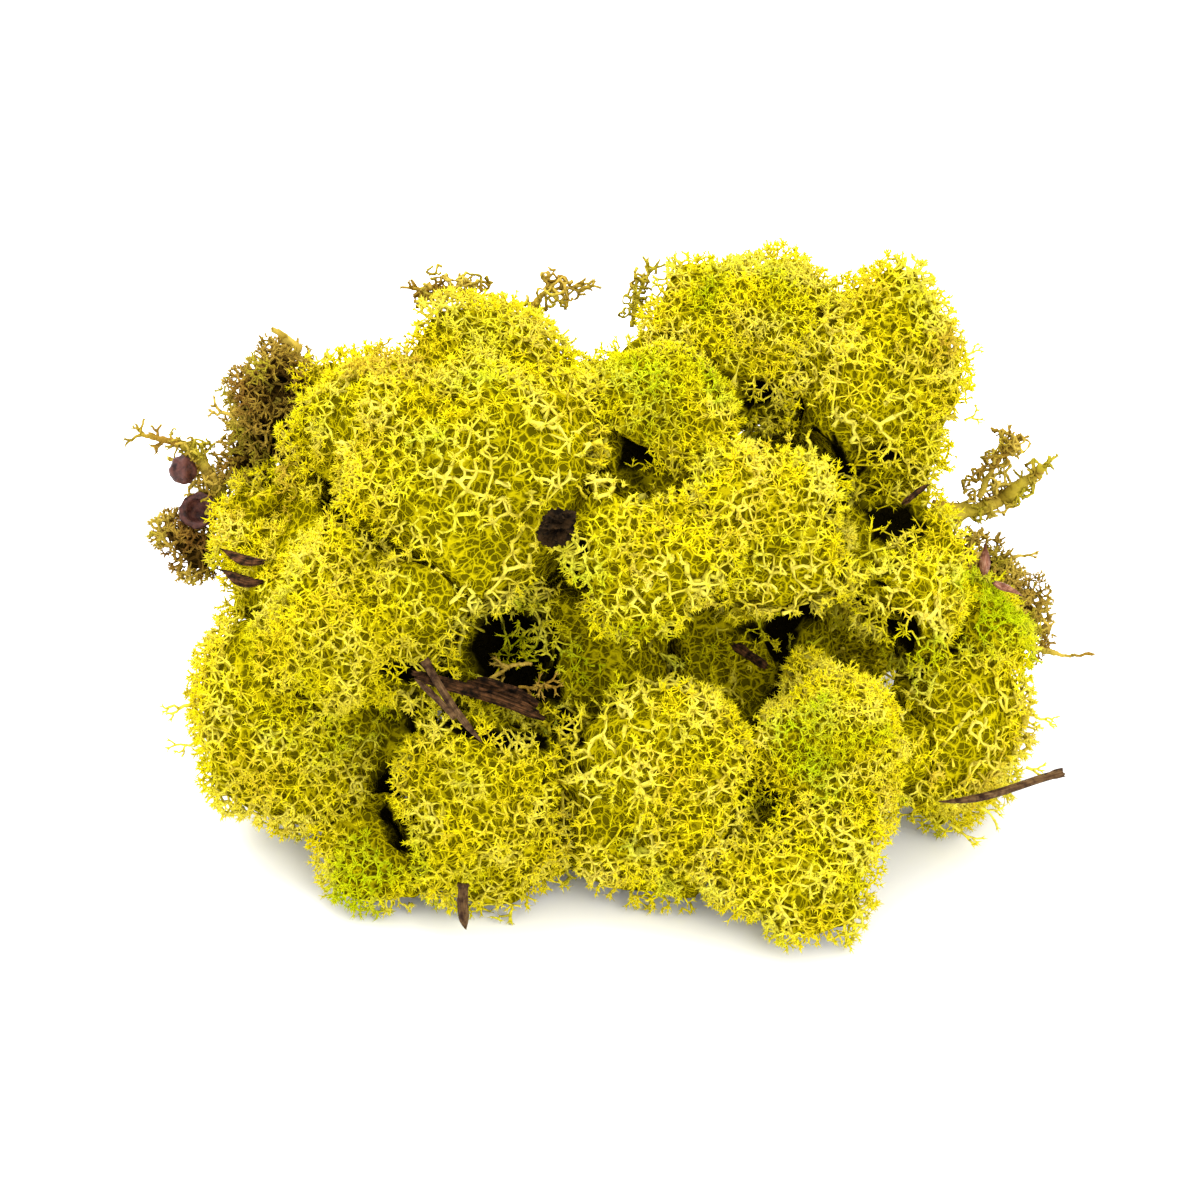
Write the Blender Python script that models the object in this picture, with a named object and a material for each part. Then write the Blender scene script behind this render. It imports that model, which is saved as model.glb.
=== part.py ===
"""Clump of reindeer lichen: cushions pressed together in a heap, with dead lichen, pine needles and bark caught in it.

Metres, +Z up, +Y away from the viewer. The heap rests on z = 0, and the origin is the middle of its footprint.
Each cushion is one grown piece. Its solid has the outer form that the tips of its branches reach.
"""

import math
from dataclasses import dataclass

import bmesh
import bpy
from mathutils import Matrix, Vector, noise
from mathutils.bvhtree import BVHTree

MM = 0.001

# Room left between two pieces that touch
GAP = 0.4 * MM

# A cushion's surface is a pattern of rounded heads with creases between them
HEAD_SPACING = 15 * MM
HEAD_HEIGHT = 8 * MM
HEAD_LEVEL = 0.25
SWELL_SPACING = 34 * MM
SWELL_HEIGHT = 2.4 * MM

# A plane that parts two cushions stays this share of the way from either centre
LEAST_SHARE = 0.22


@dataclass(frozen=True)
class Lump:
    """A rounded piece: its centre and half sizes in millimetres, and how finely its surface is divided.

    The lean turns it to the right about the viewer's line of sight, in degrees.
    """

    centre: tuple
    radii: tuple
    cuts: int = 5
    lean: float = 0
    heads: float = 1.0
    material: str = "lime_lichen"


# The front cushions from the top of the heap to the ground, those behind them, and the dead pieces
LUMPS = {
    "cushion_upper_left": Lump((-27, 3, 73), (31, 31, 33), 6),
    "cushion_upper_left_side": Lump((-49, 14, 77), (15, 15, 18), 4),
    "cushion_top_green": Lump((9, 12, 77), (20, 18, 20), 4),
    "cushion_top_middle": Lump((28, 31, 84), (23, 19, 21), 5),
    "cushion_top_right": Lump((55, 21, 82), (20, 20, 27), 5, -6),
    "cushion_middle": Lump((7, -20, 65), (18, 17, 17), 5),
    "cushion_middle_right": Lump((33, -11, 66), (19, 17, 19), 4),
    "cushion_right": Lump((57, -8, 54), (16, 18, 18), 4),
    "cushion_far_right": Lump((75, -2, 38), (12, 13, 9), 4, 15),
    "cushion_left": Lump((-64, 9, 52), (20, 20, 19), 4),
    "cushion_left_middle": Lump((-47, -21, 52), (24, 20, 19), 5, 10),
    "cushion_lower_left": Lump((-61, -15, 24), (23, 24, 29), 5, -32),
    "cushion_bottom_left": Lump((-45, -41, 11), (12, 12, 12), 4),
    "cushion_lower_centre": Lump((-24, -38, 21), (19, 18, 24), 5),
    "cushion_lower_middle": Lump((10, -40, 24), (21, 18, 28), 5),
    "cushion_lower_right": Lump((44, -34, 31), (20, 18, 20), 4),
    "cushion_right_end": Lump((69, -15, 21), (17, 19, 23), 4, -12),
    "cushion_bottom_right": Lump((36, -51, 13), (19, 16, 17), 4, -20),
    "cushion_inner_left": Lump((-8, -6, 31), (25, 20, 26), 3),
    "cushion_inner_right": Lump((28, 2, 27), (22, 18, 24), 3),
    "cushion_back_left": Lump((-41, 37, 33), (28, 26, 39), 4),
    "cushion_back_middle": Lump((4, 43, 31), (27, 24, 38), 4),
    "cushion_back_right": Lump((46, 39, 31), (26, 25, 38), 4),
    "dead_lichen_upper_left": Lump((-69, 32, 70), (11, 11, 18), 3, 10, 0.9, "dead_lichen"),
    "dead_lichen_left_low": Lump((-86, 24, 41), (8, 8, 8), 3, 0, 0.7, "dead_lichen"),
    "dead_lichen_right": Lump((77, 20, 34), (8, 9, 18), 3, -42, 0.7, "dead_lichen"),
    "husk_upper_left": Lump((-86, 25, 59), (4, 3, 5), 2, 0, 0.0, "husk"),
    "husk_lower_left": Lump((-83, 22, 51), (5, 3, 5), 2, 0, 0.0, "husk"),
    "bark_chip_upper": Lump((-10, -31, 78), (4, 3, 6), 2, 20, 0.3, "bark"),
}


@dataclass(frozen=True)
class Stem:
    """A needle, twig or thin branch: three points that it bends through in millimetres, and its thickness."""

    start: tuple
    middle: tuple
    end: tuple
    radius: float
    tip: float = 0.5
    width: float = 1.0
    material: str = "needle"


STEMS = {
    "needle_right": Stem((65, -38, 21), (77, -32, 19), (90, -27, 20), 0.75, 0.8),
    "needle_bottom": Stem((-28, -52, 17), (-28, -58, 13), (-27, -62, 5), 0.9, 0.4),
    "bark_strip_back": Stem((-27, -35, 47), (-19, -36, 45), (-13, -38, 42), 0.8, 0.5, 1.2, "bark"),
    "bark_strip_front": Stem((-38, -41, 52), (-22, -39, 45), (-9, -40, 39), 0.8, 0.5, 1.2, "bark"),
    "needle_pair_upper": Stem((-35, -39, 54), (-30, -45, 48), (-24, -50, 43), 0.75, 0.5),
    "needle_pair_lower": Stem((-37, -42, 52), (-33, -45, 50), (-29, -48, 47), 0.65, 0.6),
    "scale_left_upper": Stem((-76, -4, 58), (-74, -6, 58), (-71, -8, 58), 1.0, 0.4, 1.6, "bark"),
    "scale_left_lower": Stem((-76, -7, 55), (-74, -9, 55), (-71, -11, 55), 1.0, 0.5, 1.6, "bark"),
    "bud_right_upper": Stem((75, -2, 51), (75, -2, 54), (75, -1, 57), 1.0, 0.3, 1.4, "husk"),
    "bud_right_lower": Stem((77, -4, 50), (79, -5, 50), (82, -7, 49), 0.9, 0.8, 1.4, "husk"),
    "twig_stub_middle": Stem((22, -12, 44), (27, -20, 44), (31, -27, 45), 1.2, 0.9, 1.3, "bark"),
    "bark_right_upper": Stem((58, -10, 72), (60, -8, 73), (63, -6, 74), 0.8, 0.8, 1.2, "bark"),
    "dead_sprig_upper": Stem((-22, -25, 41), (-19, -25, 44), (-15, -26, 45), 0.7, 0.6, 1.0, "dead_lichen"),
    "dead_sprig_lower": Stem((-17, -28, 41), (-13, -30, 42), (-12, -32, 44), 0.6, 0.6, 1.0, "dead_lichen"),
    "dead_branch_right": Stem((68, 24, 50), (79, 25, 50), (88, 27, 58), 1.9, 0.8, 1.0, "dead_lichen"),
    "dead_fork_right": Stem((76, 25, 53), (78, 26, 58), (82, 28, 64), 1.0, 0.5, 1.0, "dead_lichen"),
    "dead_tip_right": Stem((86, 13, 25), (92, 10, 24), (98, 9, 25), 1.0, 0.3, 1.0, "dead_lichen"),
    "dead_stalk_left": Stem((-72, 20, 43), (-80, 24, 54), (-86, 28, 64), 1.6, 0.8, 1.0, "dead_lichen"),
    "dead_fork_left": Stem((-87, 28, 66), (-92, 29, 67), (-97, 30, 67), 0.9, 0.5, 1.0, "dead_lichen"),
    "dead_wisp_top_left": Stem((-20, 25, 90), (-27, 30, 98), (-37, 32, 96), 0.9, 0.5, 1.0, "dead_lichen"),
    "dead_wisp_top_right": Stem((-16, 24, 89), (-13, 29, 98), (-6, 29, 98), 0.8, 0.5, 1.0, "dead_lichen"),
    "dead_wisp_top_middle": Stem((9, 36, 98), (6, 34, 94), (5, 31, 89), 0.9, 0.7, 1.0, "dead_lichen"),
}

UP = Vector((0, 0, 1))

# Points along a stem, and sides round it
STEM_POINTS = 8
STEM_SIDES = 6

# Edges that bend more than this are shaded sharp
SHARP_ANGLE = math.radians(50)

# A point of a stem deeper than this inside the heap is hidden. One nearer to the surface is pushed out.
DEEP = 1.5 * MM

# Rounds of pushing, how much each one straightens the stem, and the shares of a segment where it is probed
PUSHES = 16
STIFFNESS = 0.12
PROBES = (0, 0.33, 0.67, 1)

# Points of a stem are at least this far apart
LEAST_STEP = 0.9 * MM

# Colour as linear RGB, and roughness
MATERIALS = {
    "lime_lichen": ((0.50, 0.44, 0.03), 0.85),
    "dead_lichen": ((0.22, 0.13, 0.04), 0.9),
    "needle": ((0.09, 0.045, 0.025), 0.6),
    "bark": ((0.045, 0.022, 0.012), 0.85),
    "husk": ((0.14, 0.045, 0.035), 0.6),
}


def clear_scene():
    """Remove the objects of the startup scene."""
    for obj in list(bpy.data.objects):
        bpy.data.objects.remove(obj)


def make_materials():
    """One material for each kind of piece."""
    made = {}
    for name, (colour, roughness) in MATERIALS.items():
        material = bpy.data.materials.new(name)
        material.use_nodes = True
        shader = material.node_tree.nodes["Principled BSDF"]
        shader.inputs["Base Color"].default_value = (*colour, 1)
        shader.inputs["Roughness"].default_value = roughness
        made[name] = material
    return made


def add_collection(name):
    """A new collection in the scene."""
    collection = bpy.data.collections.new(name)
    bpy.context.scene.collection.children.link(collection)
    return collection


def add_object(name, data, material, heap):
    """An object of the heap with this mesh or curve."""
    data.materials.append(material)
    obj = bpy.data.objects.new(name, data)
    obj.parent = heap
    heap.users_collection[0].objects.link(obj)
    return obj


def metres(point):
    """A point given in millimetres."""
    return Vector(point) * MM


def reach(lump, direction):
    """How far the lump's ellipsoid reaches from its centre along a unit direction."""
    upright = Matrix.Rotation(-math.radians(lump.lean), 3, "Y") @ direction
    return 1 / math.sqrt(sum((d / r) ** 2 for d, r in zip(upright, metres(lump.radii))))


def head_relief(point, seed):
    """Height of the rounded heads and of the slow swell under them at a point of the surface."""
    shift = Vector((seed, 2 * seed, 3 * seed))
    to_head = noise.voronoi(point / HEAD_SPACING + shift)[0][0]
    swell = noise.noise(point / SWELL_SPACING + shift)
    return HEAD_HEIGHT * (HEAD_LEVEL - to_head**2) + SWELL_HEIGHT * swell


def parting_planes(name):
    """The planes, as (unit direction, distance), that part a lump from every other one.

    Two lumps that would overlap meet in the middle of the overlap, so that the heap packs like pressed cushions.
    """
    lump = LUMPS[name]
    planes = []
    for other_name, other in LUMPS.items():
        if other_name == name:
            continue
        way = metres(other.centre) - metres(lump.centre)
        distance = way.length
        way.normalize()
        mine, theirs = reach(lump, way), reach(other, -way)
        if mine + theirs > distance:
            meet = (mine + distance - theirs) / 2
        else:
            meet = distance * mine / (mine + theirs)
        meet = min(max(meet, LEAST_SHARE * distance), (1 - LEAST_SHARE) * distance)
        planes.append((way, meet - GAP / 2))
    return planes


def ball(cuts):
    """An even ball of unit radius, from a cube whose faces are divided and pushed out."""
    mesh = bmesh.new()
    bmesh.ops.create_cube(mesh, size=2)
    bmesh.ops.subdivide_edges(mesh, edges=mesh.edges[:], cuts=cuts, use_grid_fill=True)
    for vertex in mesh.verts:
        vertex.co = Vector(math.tan(c * math.pi / 4) for c in vertex.co).normalized()
    return mesh


def add_lump(name, seed, material, heap):
    """A rounded piece, pressed flat where it meets its neighbours and the ground. Returns its surface as a tree."""
    lump = LUMPS[name]
    centre = metres(lump.centre)
    planes = parting_planes(name)
    planes.append((-UP, centre.z))
    mesh = ball(lump.cuts)
    for vertex in mesh.verts:
        direction = vertex.co.copy()
        out = reach(lump, direction)
        out += lump.heads * head_relief(centre + out * direction, seed)
        for way, distance in planes:
            facing = direction.dot(way)
            if facing > 0:
                out = min(out, distance / facing)
        vertex.co = out * direction
    bmesh.ops.recalc_face_normals(mesh, faces=mesh.faces)
    bmesh.ops.triangulate(mesh, faces=mesh.faces)
    data = bpy.data.meshes.new(name)
    mesh.to_mesh(data)
    data.shade_smooth()
    data.set_sharp_from_angle(angle=SHARP_ANGLE)
    obj = add_object(name, data, material, heap)
    obj.location = centre
    bmesh.ops.translate(mesh, verts=mesh.verts, vec=centre)
    tree = BVHTree.FromBMesh(mesh)
    mesh.free()
    return tree


def clearance(point, trees):
    """Distance from a point to the nearest surface, below zero inside a piece, and the way out from it."""
    least, way_out = math.inf, Vector()
    for tree in trees:
        nearest, _, _, distance = tree.find_nearest(point)
        hit, normal, _, _ = tree.ray_cast(point, UP)
        inside = hit is not None and normal.dot(UP) > 0
        if inside:
            distance = -distance
        if distance < least:
            least = distance
            way_out = (point - nearest).normalized() * (-1 if inside else 1)
    return least, way_out


def stem_path(stem):
    """Points of a smooth bend through the stem's three points, each with its share of the way."""
    start, middle, end = metres(stem.start), metres(stem.middle), metres(stem.end)
    handle = 2 * middle - (start + end) / 2
    shares = [i / (STEM_POINTS - 1) for i in range(STEM_POINTS)]
    return [(t, (1 - t) ** 2 * start + 2 * t * (1 - t) * handle + t**2 * end) for t in shares]


def outside_run(stem, trees):
    """The longest run of the stem's points that don't lie deep inside the heap, each with its share of the way."""
    best, run = [], []
    for share, point in stem_path(stem):
        run = [*run, (share, point)] if clearance(point, trees)[0] > -DEEP else []
        best = max(best, run, key=len)
    return best


def bend_clear(points, room, trees):
    """Bend the points of a rod, in place, until all of it has room beside every piece of the heap."""
    for _ in range(PUSHES):
        for before, point, after in zip(points, points[1:], points[2:]):
            point += STIFFNESS * ((before + after) / 2 - point)
        for before, after in zip(points, points[1:]):
            for share in PROBES:
                least, way_out = clearance(before.lerp(after, share), trees)
                if least < room:
                    push = way_out * (room - least)
                    before += push
                    after += push


def free_run(stem, trees):
    """The points of the stem where it shows, clear of every piece, each with its share of the way along it."""
    run = outside_run(stem, trees)
    bend_clear([point for _, point in run], stem.radius * stem.width * MM + GAP, trees)
    kept = run[:1]
    for share, point in run[1:]:
        if (point - kept[-1][1]).length > LEAST_STEP:
            kept.append((share, point))
    return kept


def poly_spline(curve, points, radii, closed=False):
    """A straight-sided spline through the points."""
    spline = curve.splines.new("POLY")
    spline.points.add(len(points) - 1)
    for place, point, radius in zip(spline.points, points, radii):
        place.co = (*point, 1)
        place.radius = radius
    spline.use_cyclic_u = closed


def add_section(width, guides):
    """A guide that gives a stem its cross section: a ring one unit high and the given width."""
    curve = bpy.data.curves.new("section", "CURVE")
    angles = [-2 * math.pi * i / STEM_SIDES for i in range(STEM_SIDES)]
    ring = [Vector((width * math.cos(a), math.sin(a), 0)) for a in angles]
    poly_spline(curve, ring, [1] * STEM_SIDES, closed=True)
    section = bpy.data.objects.new("section", curve)
    section.hide_render = True
    section.display_type = "WIRE"
    guides.objects.link(section)
    return section


def add_stem(name, material, trees, heap, guides):
    """A tapered rod along the stem's bend that starts where it comes out of the heap. Returns its surface as a tree."""
    stem = STEMS[name]
    run = free_run(stem, trees)
    curve = bpy.data.curves.new(name, "CURVE")
    curve.dimensions = "3D"
    curve.twist_mode = "Z_UP"
    curve.bevel_mode = "OBJECT"
    curve.bevel_object = add_section(stem.width, guides)
    curve.use_fill_caps = True
    radii = [stem.radius * MM * (1 + (stem.tip - 1) * share**2) for share, _ in run]
    poly_spline(curve, [point for _, point in run], radii)
    obj = add_object(name, curve, material, heap)
    graph = bpy.context.evaluated_depsgraph_get()
    data = bpy.data.meshes.new_from_object(obj.evaluated_get(graph))
    mesh = bmesh.new()
    mesh.from_mesh(data)
    tree = BVHTree.FromBMesh(mesh)
    mesh.free()
    bpy.data.meshes.remove(data)
    return tree


def stand_on_origin(heap):
    """Move the whole heap so that the middle of its footprint is at the origin."""
    bpy.context.view_layer.update()
    corners = [obj.matrix_world @ Vector(corner) for obj in heap.children for corner in obj.bound_box]
    low = Vector(map(min, zip(*corners)))
    high = Vector(map(max, zip(*corners)))
    heap.location = (-(low.x + high.x) / 2, -(low.y + high.y) / 2, -low.z)


def main():
    clear_scene()
    materials = make_materials()
    collection = add_collection("lichen_clump")
    guides = add_collection("guides")
    heap = bpy.data.objects.new("heap", None)
    collection.objects.link(heap)
    trees = []
    for seed, (name, lump) in enumerate(LUMPS.items(), start=1):
        trees.append(add_lump(name, seed, materials[lump.material], heap))
    for name, stem in STEMS.items():
        trees.append(add_stem(name, materials[stem.material], trees, heap, guides))
    stand_on_origin(heap)


main()
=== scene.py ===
"""Clump of reindeer lichen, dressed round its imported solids.

Every cushion is a net of fine branches grown in the space of its solid: the cells of the net are laid out
round scattered seeds, their edges become branches, and the branches end in star shaped tips at the outer
form. Dead branches, needles, bark and bud scales follow the solids that they replace.
"""

import logging
import math
from dataclasses import dataclass, field
from enum import Enum
from itertools import combinations

import bmesh
import bpy
import numpy as np
from bmesh.types import BMesh
from bpy.types import Material, Mesh, Node, NodeSocket, NodeTree, Object
from mathutils import Euler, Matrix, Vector, kdtree
from mathutils.bvhtree import BVHTree
from numpy.random import Generator, default_rng


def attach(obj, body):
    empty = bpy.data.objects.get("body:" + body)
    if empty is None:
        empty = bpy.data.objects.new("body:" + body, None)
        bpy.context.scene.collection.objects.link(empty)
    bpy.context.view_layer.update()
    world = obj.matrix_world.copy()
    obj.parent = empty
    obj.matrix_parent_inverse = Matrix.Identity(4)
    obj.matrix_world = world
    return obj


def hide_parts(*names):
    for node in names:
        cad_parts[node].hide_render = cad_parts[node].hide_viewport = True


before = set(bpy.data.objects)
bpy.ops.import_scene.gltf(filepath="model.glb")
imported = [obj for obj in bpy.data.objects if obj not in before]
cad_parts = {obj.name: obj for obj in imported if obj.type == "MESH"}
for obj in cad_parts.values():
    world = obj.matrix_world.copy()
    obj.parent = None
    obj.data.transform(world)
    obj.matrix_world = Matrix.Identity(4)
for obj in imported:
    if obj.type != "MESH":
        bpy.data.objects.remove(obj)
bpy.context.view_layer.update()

Array = np.ndarray
Pair = tuple[float, float]
Triple = tuple[float, float, float]

log = logging.getLogger("lichen_clump")

MM = 0.001
TAU = 2 * math.pi
WELD = 1e-6
SHORTEST = 1e-12
GROWTH = "growth"

# The viewer of the photograph looks down at this angle
VIEW_ELEVATION = math.radians(32)
TOWARDS_VIEWER = np.array([0, -math.cos(VIEW_ELEVATION), math.sin(VIEW_ELEVATION)])

# In millimetres: the middle that the branches point away from, and the lowest place of a form
HEAP_MIDDLE = np.array([0, 0, 45])
LOWEST = 0.3

# The shares of its reach between which a spot or a dent fades, and how ragged the edge of a spot is
SPOT_EDGE = (0.55, 1.25)
DENT_EDGE = (0.3, 1.2)
RAGGED = 0.3
RAGGED_RIPPLE = (4, 9)

# The hue that is a lichen's own, halfway from tan to green
OWN_HUE = 0.5


@dataclass(frozen=True)
class Weave:
    """How coarse a net of branches is, in millimetres."""

    spacing: float
    radius: float
    depth: float


class Net(Enum):
    """The nets that the cushions grow in, from the widest holes to the closest."""

    EVEN = Weave(2.2, 0.25, 3.0)
    CLOSE = Weave(1.9, 0.2, 2.6)
    DEAD = Weave(1.9, 0.3, 4.5)


@dataclass(frozen=True)
class Spot:
    """A place in the heap where the lichen differs, in millimetres, and how strongly."""

    centre: Triple
    reach: float
    strength: float = 1.0


def make_spots(*rows: tuple[float, ...]) -> tuple[Spot, ...]:
    """Spots from rows of a centre's three coordinates, a reach and perhaps a strength."""
    return tuple(Spot(row[:3], *row[3:]) for row in rows)


def unit(vectors: Array) -> Array:
    """The vectors at a length of one."""
    return vectors / np.maximum(np.linalg.norm(vectors, axis=-1, keepdims=True), SHORTEST)


def ease(values: Array, low: float, high: float) -> Array:
    """A smooth step from 0 at low to 1 at high."""
    t = np.clip((values - low) / (high - low), 0, 1)
    return t * t * (3 - 2 * t)


def fade(points: Array, spot: Spot, edge: Pair, ragged: object = 1.0) -> Array:
    """A spot's strength at each point, which fades between two shares of its reach."""
    away = ragged * np.linalg.norm(points - np.array(spot.centre), axis=1) / spot.reach
    return spot.strength * (1 - ease(away, *edge))


def strength_at(points: Array, spots: tuple[Spot, ...]) -> Array:
    """How strongly the spots act at each point, from 0 to 1."""
    ragged = 1 + RAGGED * Ripple(*RAGGED_RIPPLE).at(points)
    total = np.zeros(len(points))
    for spot in spots:
        total = np.maximum(total, fade(points, spot, SPOT_EDGE, ragged))
    return total


def depth_at(points: Array, dents: tuple[Spot, ...]) -> Array:
    """How far the dents push the form in at each point, in millimetres."""
    return sum((fade(points, dent, DENT_EDGE) for dent in dents), np.zeros(len(points)))


def hue_at(points: Array, green: Array) -> Array:
    """The hue of each point: 0 is tan, 0.5 is the lichen's own colour and 1 is green."""
    return OWN_HUE + OWN_HUE * green - OWN_HUE * strength_at(points, TAN_SPOTS)


class Ripple:
    """Smooth variation through space, from -1 to 1, with bumps of about one size."""

    WAVES = 12
    LENGTHS = (0.8, 1.5)

    def __init__(self, size: float, seed: int) -> None:
        """Choose the waves that add up to bumps of this size in millimetres, by this seed."""
        rng = default_rng(seed)
        lengths = 2 * size * rng.uniform(*self.LENGTHS, (self.WAVES, 1))
        self.turns = unit(rng.normal(size=(self.WAVES, 3))) * TAU / lengths
        self.phases = rng.uniform(0, TAU, self.WAVES)

    def at(self, points: Array) -> Array:
        """The variation at each point."""
        total = np.sin(points @ self.turns.T + self.phases).sum(axis=1)
        return np.clip(total / math.sqrt(self.WAVES), -1, 1)


def node_mesh(node: str, cuts: int = 0, rounding: float = 0.0) -> BMesh:
    """A copy of a CAD node's mesh, with its doubles merged, and its edges divided and rounded."""
    mesh = bmesh.new()
    mesh.from_mesh(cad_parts[node].data)
    bmesh.ops.remove_doubles(mesh, verts=mesh.verts, dist=WELD)
    if cuts:
        bmesh.ops.subdivide_edges(mesh, edges=mesh.edges, cuts=cuts, smooth=rounding, use_grid_fill=True)
        bmesh.ops.triangulate(mesh, faces=mesh.faces)
    return mesh


def read_points(mesh: BMesh) -> Array:
    """The points of a mesh in millimetres."""
    return np.array([v.co for v in mesh.verts]) / MM


def read_normals(mesh: BMesh) -> Array:
    """The outward direction at each point of a mesh."""
    mesh.normal_update()
    return np.array([v.normal for v in mesh.verts])


def read_faces(mesh: BMesh) -> Array:
    """The numbers of the three points of each face."""
    mesh.verts.index_update()
    return np.array([[v.index for v in f.verts] for f in mesh.faces])


def place_points(mesh: BMesh, points: Array) -> None:
    """Put the points of a mesh at these places in millimetres."""
    for vert, point in zip(mesh.verts, points * MM):
        vert.co = point


def finish_mesh(mesh: BMesh, name: str) -> Mesh:
    """Keep a mesh as flat shaded data under this name."""
    data = bpy.data.meshes.new(name)
    mesh.to_mesh(data)
    mesh.free()
    return data


def keep_traits(data: Mesh, traits: Array) -> Mesh:
    """Keep four traits of each point as a colour attribute, and shade the mesh smooth."""
    attribute = data.attributes.new(GROWTH, "FLOAT_COLOR", "POINT")
    attribute.data.foreach_set("color", traits.astype(np.float32).ravel())
    data.shade_smooth()
    return data


@dataclass
class Shape:
    """A small closed shape that is repeated along the branches: a rod of unit radius from z = 0 to z = 1."""

    points: Array
    faces: Array

    @classmethod
    def rod(cls, sides: int, rings: int, tip: float) -> "Shape":
        """Make a rod.

        Args:
            sides: Faces round it.
            rings: Rings of points along it.
            tip: Radius at its far end, where 0 is a point.

        Returns:
            The rod's points and triangles.
        """
        mesh = bmesh.new()
        bmesh.ops.create_cone(mesh, cap_ends=True, segments=sides, radius1=1, radius2=tip, depth=1)
        bmesh.ops.remove_doubles(mesh, verts=mesh.verts, dist=WELD)
        upright = [e for e in mesh.edges if abs(e.verts[0].co.z - e.verts[1].co.z) > 0.5]
        if rings > 2:
            bmesh.ops.subdivide_edges(mesh, edges=upright, cuts=rings - 2)
        bmesh.ops.translate(mesh, verts=mesh.verts, vec=(0, 0, 0.5))
        bmesh.ops.triangulate(mesh, faces=mesh.faces)
        bmesh.ops.recalc_face_normals(mesh, faces=mesh.faces)
        points, faces = np.array([v.co for v in mesh.verts]), read_faces(mesh)
        mesh.free()
        return cls(points, faces)


ROD = Shape.rod(3, 2, 1)
BENT_ROD = Shape.rod(3, 3, 1)
SPIKE = Shape.rod(3, 2, 0)
LIMB = Shape.rod(8, 3, 1)


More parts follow.
